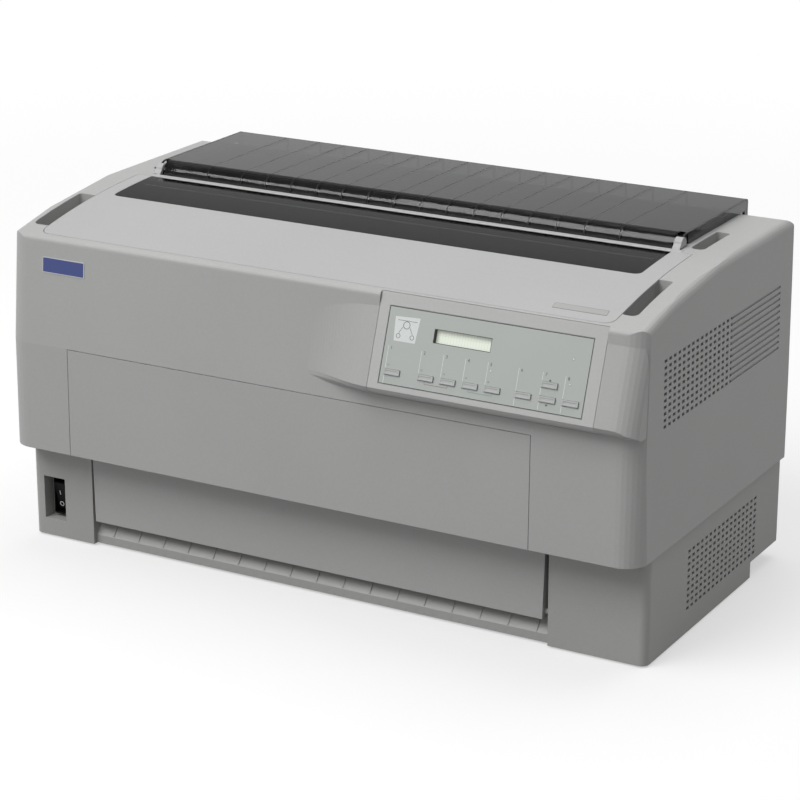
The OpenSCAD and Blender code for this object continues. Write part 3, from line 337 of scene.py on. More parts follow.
@dataclass(frozen=True)
class Ink(Surface):
    """Screen-printing ink: thin, opaque, slightly uneven from the mesh it went through."""

    tone: tuple = (1.5, 1)
    tones: Point = (0.93, 1.05)


@dataclass(frozen=True)
class LacqueredPlate(Surface):
    """Aluminium nameplate with baked colour lacquer: glossy, with a faint brushed ground."""

    roughness: float = 0.3
    metal: float = 0.35
    tone: tuple = (0.6, 3, (0.05, 1, 1))
    tones: Point = (0.9, 1.1)
    sockets: tuple = (("Coat_Weight", 0.4), ("Coat_Roughness", 0.12))


@dataclass(frozen=True)
class PlatedSteel(Surface):
    """Cold-rolled sheet with clear zinc plating: silver grey, satin, with streaks and clouds."""

    colour: str = "#b4b8bb"
    roughness: float = 0.34
    metal: float = 1.0
    tone: tuple = (35, 4)
    tones: Point = (0.88, 1.08)
    grain: tuple = (1.2, 2, (1, 0.04, 1))
    matting: Point = (-0.08, 0.12)
    depth_mm: float = 0.01
    soft_mm: float = 0.3


@dataclass(frozen=True)
class GroundSteel(Surface):
    """Centreless-ground bar: bright steel with fine rings round the shaft."""

    colour: str = "#c3c6c9"
    roughness: float = 0.14
    metal: float = 1.0
    grain: tuple = (0.5, 2, (1, 0.02, 0.02))
    matting: Point = (0.0, 0.18)
    depth_mm: float = 0.006


@dataclass(frozen=True)
class CastAluminium(Surface):
    """Pressure die-cast aluminium, shot-blasted: dull, finely pitted grey metal."""

    colour: str = "#9a9da0"
    roughness: float = 0.46
    metal: float = 1.0
    tone: tuple = (0.8, 4)
    tones: Point = (0.8, 1.12)
    grain: tuple = (0.8, 4)
    depth_mm: float = 0.03
    soft_mm: float = 0.4


@dataclass(frozen=True)
class Rubber(Surface):
    """Vulcanised rubber, ground or moulded: nearly black, very matt, dusty in its pores."""

    roughness: float = 0.78
    tone: tuple = (25, 3)
    tones: Point = (0.8, 1.4)
    grain: tuple = (0.6, 4)
    depth_mm: float = 0.04
    sockets: tuple = (("IOR", 1.52),)


@dataclass(frozen=True)
class DisplayGlass(Finish):
    """Reflective liquid-crystal display: pale green, with the faint grid of its character cells."""

    colour: str
    grid: str = "#d4dfc9"
    cell_mm: float = 2.9
    lean_deg: float = 70.0  # turns the grid into the leaning panel
    lit: float = 0.2  # painted light: the glass glows a little of its own, brightening it in its shaded recess

    def fill(self, r: Recipe) -> None:
        """Adds the grid of cells and the glow.

        Args:
            r: recipe of the material.
        """
        lean = (math.radians(self.lean_deg), 0, 0)
        place = r.node("Mapping", {"Vector": r.place, "Rotation": lean}).outputs[0]
        colour = linear(self.colour)
        cells = r.node("TexBrick", {
            "Vector": place, "Scale": per_mm(self.cell_mm), "Mortar Size": 0.06, "Brick Width": 1.0,
            "Row Height": 1.7, "Color1": colour, "Color2": colour, "Mortar": linear(self.grid),
        }, offset=0.0)
        r.feed(Base_Color=cells.outputs["Color"], Roughness=0.22, IOR=1.52, Coat_Weight=0.5,
               Coat_Roughness=0.06, Emission_Color=colour, Emission_Strength=self.lit)


@dataclass(frozen=True)
class CircuitLaminate(Finish):
    """Glass-epoxy board under green solder mask: copper tracks show through as paler green lines.

    Parts on the board are black; the connectors at its rear edge have bright metal shells.
    """

    colour: str = "#1f5438"
    shade: str = "#1a4a31"  # every other field between the tracks is a little darker
    track: str = "#3d7f57"
    track_mm: float = 2.4
    part: str = "#1a1b1d"
    shell: str = "#a3a4a6"
    top_mm: float = 1000.0  # height of the board's top; out of reach where it has no parts
    rear_mm: float = 139.5  # the connectors lie behind this line

    def fill(self, r: Recipe) -> None:
        """Adds the tracks, and tells parts and connectors from the board by their place.

        Args:
            r: recipe of the material.
        """
        tracks = r.node("TexBrick", {
            "Vector": r.place, "Scale": per_mm(self.track_mm), "Mortar Size": 0.09,
            "Brick Width": 7.0, "Row Height": 1.0, "Color1": linear(self.colour),
            "Color2": linear(self.shade), "Mortar": linear(self.track)}, offset=0.37)
        place = r.node("SeparateXYZ", {0: r.place}).outputs
        raised = r.maths("GREATER_THAN", place[2], self.top_mm * MM)
        rear = r.maths("GREATER_THAN", place[1], self.rear_mm * MM)
        parts = r.mixed(rear, linear(self.part), linear(self.shell))
        colour = r.mixed(raised, tracks.outputs["Color"], parts)
        r.feed(Base_Color=colour, Metallic=r.maths("MULTIPLY", raised, rear), Roughness=0.35,
               IOR=1.55)
        r.relief(tracks.outputs["Fac"], depth_mm=0.03)


@dataclass(frozen=True)
class InkedFabric(Finish):
    """Nylon ribbon soaked in black ink: a tight plain weave, with the sheen of wet thread."""

    colour: str = "#0d0d12"
    thread_mm: float = 0.9  # real thread is about 0.1 mm; drawn coarser so that it shows

    def fill(self, r: Recipe) -> None:
        """Adds warp and weft: two wave patterns, of which the higher one is the surface.

        Args:
            r: recipe of the material.
        """
        waves = {"Vector": r.place, "Scale": per_mm(self.thread_mm) / (2 * math.pi)}
        warp, weft = (r.node("TexWave", waves, bands_direction=way).outputs["Fac"] for way in "XZ")
        r.feed(Base_Color=linear(self.colour), Roughness=0.55, Sheen_Weight=0.3)
        r.relief(r.maths("MAXIMUM", warp, weft), depth_mm=0.05)


# ---------------- surfaces
@dataclass(frozen=True)
class Plane:
    """A flat place on the printer: an origin, and how far the wall there leans back."""

    origin: Place
    lean_deg: float  # 0 for an upright wall that faces the front; 90 for a level top

    def points(self, flat: Array) -> Array:
        """Puts (across, up, out) triples in millimetres on the plane.

        The place of a point is the origin, plus across along X, plus up along the leaning wall,
        plus out along the wall's normal.

        Args:
            flat: array of shape (..., 3).

        Returns:
            Array of the same shape, in metres.
        """
        a = math.radians(self.lean_deg)
        axes = np.array([[1, 0, 0], [0, math.sin(a), math.cos(a)], [0, -math.cos(a), math.sin(a)]])
        return (flat @ axes + np.array(self.origin)) * MM


def rounded_outline(centre: Point, size: Point, radius: float) -> Array:
    """Outline of a rectangle with rounded corners, anticlockwise from its right side.

    Each corner is a quarter circle of the given radius about a point set in by that radius.

    Args:
        centre: its middle, across and up.
        size: its width and height.
        radius: corner radius.

    Returns:
        Array of shape (24, 2).
    """
    turn = np.linspace(0, math.pi / 2, 6)
    corner = np.arange(4)[:, None] * math.pi / 2 + turn
    signs = np.array([[1, 1], [-1, 1], [-1, -1], [1, -1]])[:, None, :]
    middle = np.array(centre) + signs * (np.array(size) / 2 - radius)
    return (middle + radius * np.stack([np.cos(corner), np.sin(corner)], -1)).reshape(-1, 2)


def circle(centre: Point, radius: float) -> Array:
    """Outline of a circle, anticlockwise: points at even angles, at the radius from the centre.

    Args:
        centre: its middle.
        radius: its radius.

    Returns:
        Array of shape (32, 2).
    """
    turn = np.linspace(0, 2 * math.pi, 32, endpoint=False)
    return np.array(centre) + radius * np.stack([np.cos(turn), np.sin(turn)], -1)


def stacked_rings(outline: Array, insets: Sequence[float], levels: Sequence[float]) -> Array:
    """Carries a convex outline along a profile.

    A point of ring k is the outline's point moved along its inward normal by insets[k], at the
    height levels[k]. The normal at a point is square to the mean direction of its two edges.

    Args:
        outline: points (n, 2), anticlockwise.
        insets: distance inwards of each ring.
        levels: height of each ring.

    Returns:
        Array of shape (rings, n, 3).
    """
    ahead = np.roll(outline, -1, 0) - outline
    behind = outline - np.roll(outline, 1, 0)
    unit = [v / np.maximum(np.linalg.norm(v, axis=1, keepdims=True), TINY) for v in (ahead, behind)]
    along = unit[0] + unit[1]
    along /= np.maximum(np.linalg.norm(along, axis=1, keepdims=True), TINY)
    inward = np.stack([-along[:, 1], along[:, 0]], -1)
    flat = outline[None] + np.asarray(insets)[:, None, None] * inward[None]
    high = np.broadcast_to(np.asarray(levels, float)[:, None, None], flat.shape[:2] + (1,))
    return np.concatenate([flat, high], -1)


def band_faces(bands: int, rings: int, n: int) -> list[list[int]]:
    """Faces between neighbouring rings of n points.

    Face (k, i) joins points i and i + 1 of ring k to those of the next ring; the first ring
    comes after the last one.

    Args:
        bands: number of gaps to cover.
        rings: number of rings.
        n: points in a ring.

    Returns:
        Four point numbers for each face.
    """
    k, i = np.meshgrid(np.arange(bands), np.arange(n), indexing="ij")
    j, up = (i + 1) % n, (k + 1) % rings
    return np.stack([k * n + i, k * n + j, up * n + j, up * n + i], -1).reshape(-1, 4).tolist()


def capped_mesh(name: str, rings: Array) -> Mesh:
    """Builds a closed mesh from rings of points, with a flat face over the first and last ring.

    Args:
        name: name of the mesh.
        rings: array (rings, n, 3), in metres, anticlockwise seen from the last ring's side.

    Returns:
        The mesh.
    """
    count, n = rings.shape[:2]
    caps = [np.arange(n)[::-1].tolist(), ((count - 1) * n + np.arange(n)).tolist()]
    mesh = bpy.data.meshes.new(name)
    mesh.from_pydata(rings.reshape(-1, 3), [], band_faces(count - 1, count, n) + caps)
    mesh.validate()
    return mesh


def slab_mesh(name: str, plane: Plane, outline: Array, low: float, high: float) -> Mesh:
    """A slab: the outline at two heights over a plane, closed by upright walls.

    Args:
        name: name of the mesh.
        plane: place that it lies on.
        outline: convex outline (n, 2), anticlockwise.
        low: height of its back.
        high: height of its face.

    Returns:
        The mesh.
    """
    return capped_mesh(name, plane.points(stacked_rings(outline, (0.0, 0.0), (low, high))))


def strip_mesh(plane: Plane, start: Point, end: Point, width: float, high: float) -> Mesh:
    """A printed line: a straight strip of even width with square ends.

    Its corners are the two ends, moved half the width to each side.

    Args:
        plane: place that it is printed on.
        start: one end, across and up.
        end: the other end.
        width: width of the line.
        high: height of its face.

    Returns:
        The mesh.
    """
    a, b = np.array(start, float), np.array(end, float)
    along = (b - a) / np.linalg.norm(b - a)
    side = np.array([-along[1], along[0]]) * width / 2
    corners = np.array([a - side, b - side, b + side, a + side])
    return slab_mesh("strip", plane, corners, INK_FOOT, high)


def plate_mesh(plane: Plane, centre: Point, size: Point, radius: float, low: float, high: float,
               edge: float) -> Mesh:
    """A thin plate with rounded corners and a softened upper edge.

    The outline rises straight from its foot, and then draws in along a quarter circle of radius
    edge up to its face.

    Args:
        plane: place that it sits on.
        centre: its middle, across and up.
        size: its width and height.
        radius: corner radius.
        low: height of its back.
        high: height of its face.
        edge: radius of its upper edge.

    Returns:
        The mesh.
    """
    turn = np.linspace(0, math.pi / 2, 4)
    insets = np.concatenate([[0.0], edge * (1 - np.cos(turn))])
    levels = np.concatenate([[low], high - edge + edge * np.sin(turn)])
    rings = stacked_rings(rounded_outline(centre, size, radius), insets, levels)
    return capped_mesh("plate", plane.points(rings))


def hoop_mesh(plane: Plane, outline: Array, wall: float, low: float, high: float) -> Mesh:
    """A closed band along an outline: a printed ring, a frame or the lining of a window.

    Its section, a rectangle from the outline to wall inside it and from low to high, goes round.

    Args:
        plane: place that it sits on.
        outline: convex outline (n, 2), anticlockwise.
        wall: width of the band.
        low: height of its foot.
        high: height of its top.

    Returns:
        The mesh.
    """
    grid = stacked_rings(outline, (0.0, 0.0, wall, wall), (low, high, high, low))
    mesh = bpy.data.meshes.new("hoop")
    mesh.from_pydata(plane.points(grid).reshape(-1, 3), [], band_faces(4, 4, len(outline)))
    return mesh


def mesh_points(mesh: Mesh) -> Array:
    """Gives the points of a mesh, as an array of shape (n, 3)."""
    return np.array([v.co for v in mesh.vertices])


def numeral_mesh(plane: Plane, text: str, corner: Point, height: float, high: float) -> Mesh:
    """A printed numeral, made a mesh before it is put in place.

    Args:
        plane: place that it is printed on.
        text: plain digits.
        corner: its lower left corner, across and up.
        height: height of the digits.
        high: height of the ink.

    Returns:
        The mesh.
    """
    curve = bpy.data.curves.new("numeral", "FONT")
    curve.body = text
    curve.size = height / DIGIT_SHARE
    curve.extrude = high / 2
    curve.resolution_u = 2
    holder = bpy.data.objects.new("numeral", curve)
    mesh = bpy.data.meshes.new_from_object(holder)
    flat = mesh_points(mesh) + np.array([*corner, high / 2])
    mesh.vertices.foreach_set("co", plane.points(flat).ravel())
    bpy.data.objects.remove(holder)
    bpy.data.curves.remove(curve)
    return mesh


def joined(name: str, meshes: Sequence[Mesh]) -> Mesh:
    """Puts several closed meshes into one.

    Args:
        name: name of the result.
        meshes: meshes to join; they are removed.

    Returns:
        One mesh with all their points and faces.
    """
    points, faces, base = [], [], 0
    for mesh in meshes:
        points.append(mesh_points(mesh))
        faces += [[v + base for v in face.vertices] for face in mesh.polygons]
        base += len(mesh.vertices)
        bpy.data.meshes.remove(mesh)
    whole = bpy.data.meshes.new(name)
    whole.from_pydata(np.vstack(points), [], faces)
    return whole


# ---------------- hand over to the frame
def piece(name: str, mesh: Mesh, finish: Finish, body: str = "machine") -> None:
    """Makes an object of a finished mesh and hands it to the frame.

    Args:
        name: name of the piece.
        mesh: mesh whose points are where the piece is, in metres.
        finish: its finish.
        body: CAD body that it moves with.
    """
    obj = bpy.data.objects.new(name, mesh)
    bpy.context.scene.collection.objects.link(obj)
    mesh.materials.append(finish.build())
    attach(obj, body)
    LOG.info("piece %s: %d faces on %s", name, len(mesh.polygons), body)


def dress(finish: Finish, *nodes: str) -> None:
    """Gives CAD nodes a finish.

    Args:
        finish: the finish.
        nodes: names of the CAD nodes.
    """
    material = finish.build()
    for name in nodes:
        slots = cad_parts[name].material_slots
        for one in slots:
            one.material = material
        LOG.info("node %s: %s in %d slot(s)", name, material.name, len(slots))


# ---------------- places on the housing
CONSOLE_FOOT = (-191.0, 242.0)  # y and z of the console's face
CONSOLE_HEAD = (-160.5, 328.2)
CONSOLE = Plane((0.0, *CONSOLE_FOOT), math.degrees(math.atan(
    (CONSOLE_HEAD[0] - CONSOLE_FOOT[0]) / (CONSOLE_HEAD[1] - CONSOLE_FOOT[1]))))
FRONT_WALL = Plane((0.0, -174.5, 219.0), 5.4)  # the housing's front, over the front cover
COVER_FRONT = Plane((0.0, -144.0, 332.1), 78.3)  # the crowned printer cover, near its front edge


@dataclass
class Housing:
    """The moulded cases and opaque covers, with the two bare nameplates on them."""

    case: Finish = MouldedAbs("moulded_abs_grey", "#a9a9a8")
    base: Finish = MouldedAbs("moulded_abs_base_grey", "#a4a4a2", roughness=0.52)
    lid: Finish = MouldedAbs("moulded_abs_cover_grey", "#ababab", roughness=0.46)
    foot: Finish = Rubber("moulded_rubber_feet", "#232325")
    badge_ink: Finish = LacqueredPlate("lacquered_aluminium_blue", "#35437f")
    badge_rim: Finish = LacqueredPlate("bare_aluminium_rim", "#c3c4c6", metal=0.8)
    plate: Finish = PrintedFilm("printed_foil_silver", "#a2a2a1", roughness=0.36)
    plate_line: Finish = Ink("screen_ink_plate_line", "#6c6c6c")
    badge_centre: Point = (-280.5, 82.3)
    badge_size: Point = (48.5, 14.2)
    rim_width: float = 0.8
    plate_corners: tuple = ((243.6, 0.3), (297.6, 0.3), (296.4, 9.6), (242.4, 9.6))

    def build(self) -> None:
        """Dresses the cases and adds the nameplates."""
        dress(self.case, "upper_housing", "front_cover", "rear_cover")
        dress(self.base, "lower_case", "paper_guide")
        dress(self.lid, "printer_cover", "hinge_bar")
        dress(self.foot, "feet")
        self.badge()
        self.nameplate()

    def badge(self) -> None:
        """Adds the blue plate at the front left, left bare, in its bright rim."""
        size = self.badge_size
        outer = tuple(side + 2 * self.rim_width for side in size)
        rim = plate_mesh(FRONT_WALL, self.badge_centre, outer, radius=0.9, low=-0.3, high=0.7,
                         edge=0.3)
        face = plate_mesh(FRONT_WALL, self.badge_centre, size, radius=0.5, low=-0.2, high=0.95,
                          edge=0.2)
        piece("badge_rim", rim, self.badge_rim)
        piece("badge_plate", face, self.badge_ink)

    def nameplate(self) -> None:
        """Adds the slanted foil plate on the printer cover, left bare, and the line round it."""
        corners = np.array(self.plate_corners)
        foil = slab_mesh("foil", COVER_FRONT, corners, low=-0.3, high=0.2)
        line = hoop_mesh(COVER_FRONT, corners, wall=0.35, low=-0.3, high=0.25)
        piece("nameplate_foil", foil, self.plate, "printer_cover")
        piece("nameplate_line", line, self.plate_line, "printer_cover")


@dataclass
class Console:
    """The control panel: its frame, printed overlay, display, lamps and nine buttons.

    Places on it are across and up its face.
    """

    shell: Finish = MouldedAbs("moulded_abs_panel_frame", "#b4b4b3")
    film: Finish = PrintedFilm("printed_polycarbonate_film", "#adb2ae")
    cap: Finish = MouldedAbs("moulded_abs_button", "#b2b5b3", roughness=0.4, edge_mm=0.5)
    board: Finish = CircuitLaminate("circuit_laminate_panel")
    white: Finish = Ink("screen_ink_white", "#d6dad8")
    dark: Finish = Ink("screen_ink_grey", "#4a4f4f")
    red: Finish = Ink("screen_ink_red", "#8f6f71")
    green: Finish = Ink("screen_ink_green", "#7c9c95")
    glass: Finish = DisplayGlass("liquid_crystal_glass", "#e6ecdf")
    lens: Finish = PrintedFilm("diffused_lamp_lens", "#d5dcd6", roughness=0.3)
    bezel: Finish = MouldedAbs("moulded_abs_bezel", "#3b3d3c", roughness=0.6, edge_mm=0.2)
    surface: float = -0.1  # the film's face lies this far under the console's face
    line_width: float = 0.55
    lines: tuple = (  # across, one end, the other end
        (93.9, 42.7, 21.7), (93.9, 15.3, 7.4), (128.7, 42.5, 21.7), (151.7, 42.5, 21.7),
        (174.4, 42.5, 21.7), (197.3, 42.5, 21.7), (228.5, 42.3, 21.8), (228.5, 15.3, 8.1),
        (252.6, 42.2, 34.9), (252.6, 28.4, 21.9), (252.6, 15.3, 8.6), (275.3, 41.9, 21.9),
        (275.3, 15.3, 8.8))
    label_height: float = 3.0
    labels: tuple = ((96.0, 39.6), (130.8, 39.6), (153.8, 39.6), (176.5, 39.6), (199.4, 39.6),
                     (230.6, 39.4), (254.8, 39.2), (277.4, 38.8))
    note_height: float = 1.6
    first_note: int = 11
    notes: tuple = ((95.6, 24.2), (130.4, 24.2), (153.4, 24.2), (176.2, 24.2), (199.0, 24.2))
    bracket_width: float = 0.45
    bracket_up: Point = (14.9, 12.9)
    red_across: Point = (136.2, 160.0)
    green_across: Point = (181.6, 205.5)
    arrow_across: tuple = (259.2, 262.0, 260.6)  # both ends of its foot, and its tip
    arrow_up: tuple = ((35.1, 2.0), (14.1, -2.0))  # foot and length of each
    lamps: tuple = ((200.9, 35.3), (280.0, 35.4), (279.7, 58.2))
    # a dark line round the film, painted shade of the gap at its edge
    border_centre: Point = (192.8, 43.0)
    border_size: Point = (207.6, 72.2)
    window_centre: Point = (167.75, 57.85)
    window_size: Point = (58.7, 12.7)
    picture: tuple = ((97.8, 47.7), (120.1, 47.7), (122.0, 71.3), (96.1, 70.2))
    rollers: tuple = (((109.0, 63.2), 3.6, 0.5), ((101.8, 52.6), 2.2, 0.4),
                      ((116.2, 52.6), 2.2, 0.4))  # centre, radius, line
    paper: tuple = (((99.2, 67.2), (119.6, 67.2)), ((101.8, 55.2), (105.2, 61.0)),
                    ((116.2, 55.2), (112.8, 61.0)))

    def build(self) -> None:
        """Dresses the panel's nodes and adds what is printed on it."""
        dress(self.shell, "control_panel")
        dress(self.film, "panel_overlay")
        dress(self.cap, *[f"button_{k}" for k in range(1, 10)])
        dress(self.board, "panel_board")
        self.printing()
        self.pictogram()
        self.display()

    def mark(self, name: str, meshes: Sequence[Mesh], ink: Finish) -> None:
        """Adds printed marks of one ink as one piece."""
        piece(name, joined(name, meshes), ink)

    def printing(self) -> None:
        """Adds the lines, plain numbers, brackets and arrows, and a dark line round the film that
        paints the shade in the gap at its edge.
        """
        top = self.surface + INK
        self.mark("panel_lines", [strip_mesh(CONSOLE, (x, a), (x, b), self.line_width, top)
                                  for x, a, b in self.lines], self.white)
        self.mark("panel_numbers", [
            numeral_mesh(CONSOLE, str(k), corner, height, top)
            for corners, first, height in ((self.labels, 1, self.label_height),
                                           (self.notes, self.first_note, self.note_height))
            for k, corner in enumerate(corners, first)], self.dark)
        high, low = self.bracket_up
        for name, (left, right), ink in (("bracket_red", self.red_across, self.red),
                                         ("bracket_green", self.green_across, self.green)):
            ends = (((left, high), (left, low)), ((right, high), (right, low)),
                    ((left, low), (right, low)))
            bracket = [strip_mesh(CONSOLE, a, b, self.bracket_width, top) for a, b in ends]
            self.mark(name, bracket, ink)
        # painted shade: a dark line round the film stands for the shade in the gap at its edge
        outline = rounded_outline(self.border_centre, self.border_size, radius=0.6)
        edge_shade = hoop_mesh(CONSOLE, outline, wall=0.6, low=self.surface - 0.2, high=top)
        self.mark("film_edge_shade", [edge_shade], self.dark)
        arrows = []
        for foot, length in self.arrow_up:
            corners = np.stack([self.arrow_across, [foot, foot, foot + length]], -1)
            corners = corners if length > 0 else corners[::-1]
            arrows.append(slab_mesh("arrow", CONSOLE, corners, low=-0.15, high=top))
        self.mark("panel_arrows", arrows, self.dark)

    def pictogram(self) -> None:
        """Adds the white plate at the top left, and a plain drawing of rollers and paper on it."""
        plate = slab_mesh("plate", CONSOLE, np.array(self.picture), low=self.surface - 0.3,
                          high=self.surface + INK)
        self.mark("pictogram_plate", [plate], self.white)
        top = self.surface + 2 * INK
        drawing = [hoop_mesh(CONSOLE, circle(centre, radius), line, INK_FOOT, top)
                   for centre, radius, line in self.rollers]
        drawing += [strip_mesh(CONSOLE, a, b, width=0.4, high=top) for a, b in self.paper]
        self.mark("pictogram_drawing", drawing, self.dark)

    def display(self) -> None:
        """Adds the display's glass, the lining of its window and the lamps' lenses."""
        centre, size = self.window_centre, self.window_size
        glass = plate_mesh(CONSOLE, centre, (size[0] - 0.2, size[1] - 0.2), radius=0.3, low=-5.15,
                           high=-4.85, edge=0.1)
        outline = rounded_outline(centre, size, radius=0.4)
        lining = hoop_mesh(CONSOLE, outline, wall=0.35, low=-5.1, high=-0.3)
        domes = [stacked_rings(circle(place, radius=0.95), insets=(0.0, 0.0, 0.25),
                               levels=(-0.3, -0.02, 0.08)) for place in self.lamps]
        lenses = [capped_mesh("lens", CONSOLE.points(dome)) for dome in domes]
        piece("display_glass", glass, self.glass)
        piece("display_lining", lining, self.bezel)
        piece("lamp_lenses", joined("lamp_lenses", lenses), self.lens)


@dataclass
class SmokedCovers:
    """The see-through window of the printer cover and the ribbed eject cover."""

    window: Finish = SmokedStyrene("smoked_styrene_window", "#101112", 1.7)
    lid: Finish = SmokedStyrene("smoked_styrene_eject_cover", "#141515", 1.85, ior=1.42)
    # painted shade: near-black cores in the lid's webs stand for the darkness seen down their depth
    core: Finish = SmokedStyreneEdge("painted_web_shade")
    web_x: tuple = (-240.0, *[-199.0 + 30.0 * k for k in range(14)], 228.0)
    web_t: float = 0.9
    end_x: Point = (-298.9, 291.4)  # the middle of the two end walls
    end_t: float = 1.8
    end_depth: float = 1.1
    front_centre: Point = (43.0, 348.5)  # the front wall is part of a circle about here
    front_r: Point = (15.05, 10.5)  # the line stands 0.05 proud of the gloss
    front_deg: Point = (170.0, 90.0)  # where that part starts and ends
    rear: Place = (190.65, 363.55, 344.0)  # y, top and foot of the rear wall
    rear_bend: float = 3.0
    corner_gap: float = 0.4  # keeps the points of a plain corner apart
    # painted highlight: a paler strip on the pane's fold stands for the light it catches
    fold: Finish = SmokedStyreneEdge("painted_fold_highlight", "#5c5f60")
    fold_place: Plane = Plane((0.0, -10.0, 349.26), 86.7)  # on the pane's top
    fold_x: Point = (-292.0, 281.0)

    def build(self) -> None:
        """Dresses both, and adds painted lines: shade along the lid's webs and a highlight on the
        pane's fold.
        """
        dress(self.window, "cover_window")
        dress(self.lid, "eject_cover")
        thick = self.front_r[0] - self.front_r[1]
        webs = [self.web(x, self.web_t, thick) for x in self.web_x]
        webs += [self.web(x, self.end_t, self.end_depth) for x in self.end_x]
        piece("eject_cover_web_shade", joined("eject_cover_web_shade", webs), self.core, "eject_cover")
        # painted highlight along the pane's fold
        left, right = ((x, 0.0) for x in self.fold_x)
        fold = strip_mesh(self.fold_place, left, right, width=0.6, high=0.08)
        piece("window_fold_highlight", fold, self.fold, "printer_cover")

    def web(self, x: float, width: float, thick: float) -> Mesh:
        """A thin core of painted shade along one web: up the round front, back under the top, down
        the rear.

        Its outer and inner points lie on two circles about the same centre at the front, on two
        level lines behind them and round the bend at the rear, with half its width to each side.
        Where it is deeper than the bend is round, the inner points turn a plain corner.

        Args:
            x: place of the web along the cover.
            width: how wide the core is.
            thick: how deep the core reaches from the outside.

        Returns:
            The mesh.
        """
        turn = np.radians(np.linspace(*self.front_deg, 9))
        arcs = [np.array(self.front_centre) + r * np.stack([np.cos(turn), np.sin(turn)], -1)
                for r in (self.front_r[0], self.front_r[0] - thick)]
        y, top, foot = self.rear
        bend = np.radians([90.0, 45.0, 0.0])
        ways = np.stack([np.cos(bend), np.sin(bend)], -1)
        middle = np.array([y, top]) - self.rear_bend
        apart = -self.corner_gap * np.array([[1, 0], [0, 0], [0, 1]])
        corner = np.array([y, top]) - thick + apart
        if thick < self.rear_bend:
            corner = middle + (self.rear_bend - thick) * ways
        outer = np.vstack([arcs[0], middle + self.rear_bend * ways, [[y, foot]]])
        inner = np.vstack([arcs[1], corner, [[y - thick, foot]]])
        side = np.array([-1.0, 1.0, 1.0, -1.0]) * width / 2 + x
        path = np.stack([outer, outer, inner, inner], 1)
        across = np.broadcast_to(side[None, :, None], path.shape[:2] + (1,))
        return capped_mesh("web", np.concatenate([across, path], -1) * MM)


@dataclass
class PowerSwitch:
    """The black rocker at the front left, with its line and its circle."""

    rocker: Finish = MouldedAbs("moulded_nylon_black", "#0b0b0c", roughness=0.4, edge_mm=0.5,
                                sheen=0.1)
    rim: Finish = MouldedAbs("moulded_nylon_switch_rim", "#0d0d0e", roughness=0.45, edge_mm=0.3,
                             sheen=0.12)
    white: Finish = Ink("pad_ink_white", "#c9c9c7")
    wall_y: float = -135.0
    well: Point = (15.4, 39.4)
    well_depth: float = 14.0  # the rim lines the well down to here
    axis: Place = (-320.0, -127.0, 43.0)
    face_ahead: float = 7.0  # from the axis to the middle of the face
    half: float = 14.5  # height of the face's upper and lower half
    rise: Point = (3.5, 2.5)  # how far each comes forward from its foot to its top
    mark_x: float = -0.6

    def build(self) -> None:
        """Dresses the rocker, prints its marks and lines its well."""
        dress(self.rocker, "power_rocker")
        x, y, z = self.axis
        upper, lower = (Plane((x, y - self.face_ahead, z), math.degrees(math.atan2(-d, self.half)))
                        for d in self.rise)
        line = strip_mesh(upper, (self.mark_x, 0.8), (self.mark_x, 5.6), width=1.0, high=0.08)
        ring = hoop_mesh(lower, circle((self.mark_x, -10.0), radius=2.7), wall=0.9, low=INK_FOOT,
                         high=0.08)
        well = rounded_outline((0.0, 0.0), self.well, radius=1.0)
        rim = hoop_mesh(Plane((x, self.wall_y, z), 0.0), well, wall=1.15, low=-self.well_depth,
                        high=0.6)
        piece("rocker_rim", rim, self.rim)
        piece("rocker_marks", joined("rocker_marks", [line, ring]), self.white, "power_rocker")


@dataclass
class Mechanism:
    """Everything under the covers: frames, shafts, platen, tractors, gears, head and ribbon."""

    plated: Finish = PlatedSteel("zinc_plated_sheet")
    ground: Finish = GroundSteel("ground_steel_bar")
    platen: Finish = Rubber("ground_platen_rubber", "#1d1d20", grain=(0.8, 4))
    belt: Finish = Rubber("moulded_belt_rubber", "#151517", roughness=0.7)
    acetal: Finish = MouldedAbs("moulded_acetal_gear", "#d8d5c8", roughness=0.36, edge_mm=0.3)
    tractor: Finish = MouldedAbs("moulded_nylon_tractor", "#2c2e31", roughness=0.42, edge_mm=0.4)
    lever: Finish = MouldedAbs("moulded_nylon_lever", "#8fa0ac", roughness=0.4, edge_mm=0.4)
    black: Finish = MouldedAbs("moulded_black_cartridge", "#232427", roughness=0.44)
    motor: Finish = Rubber("black_painted_motor", "#26272a", roughness=0.45)
    ribbon: Finish = InkedFabric("inked_nylon_ribbon")
    head: Finish = CastAluminium("die_cast_head")

    def build(self) -> None:
        """Dresses the nodes under the covers."""
        dress(self.plated, "side_frame_left", "side_frame_right", "frame_beam", "screws")
        dress(self.ground, "carriage_shaft", "support_shafts", "front_drive_shaft",
              "rear_drive_shaft")
        dress(self.platen, "platen")
        dress(self.belt, "timing_belt")
        dress(self.acetal, "platen_gear", "feed_pinion", "idler_gear", "motor_pulley",
              "idler_pulley")
        sides = [f"tractor_{a}_{b}" for a in ("front", "rear") for b in ("left", "right")]
        dress(self.tractor, *sides, *[s + "_cover" for s in sides])
        dress(self.lever, *[s + "_lever" for s in sides])
        dress(self.black, "ribbon_cartridge", "ribbon_knob", "carriage")
        dress(self.motor, "carriage_motor", "feed_motor")
        dress(self.ribbon, "ribbon_band")
        dress(self.head, "print_head")


@dataclass
class Electronics:
    """The boards and supply in the lower case, and the inlet at the back."""

    board: Finish = CircuitLaminate("circuit_laminate_main", top_mm=27.65)
    cage: Finish = PlatedSteel("zinc_plated_cage", "#aeb2b4", roughness=0.4)
    inlet: Finish = MouldedAbs("moulded_black_inlet", "#1d1e20", roughness=0.4, edge_mm=0.3)

    def build(self) -> None:
        """Dresses the nodes."""
        dress(self.board, "main_board")
        dress(self.cage, "power_supply")
        dress(self.inlet, "ac_inlet")


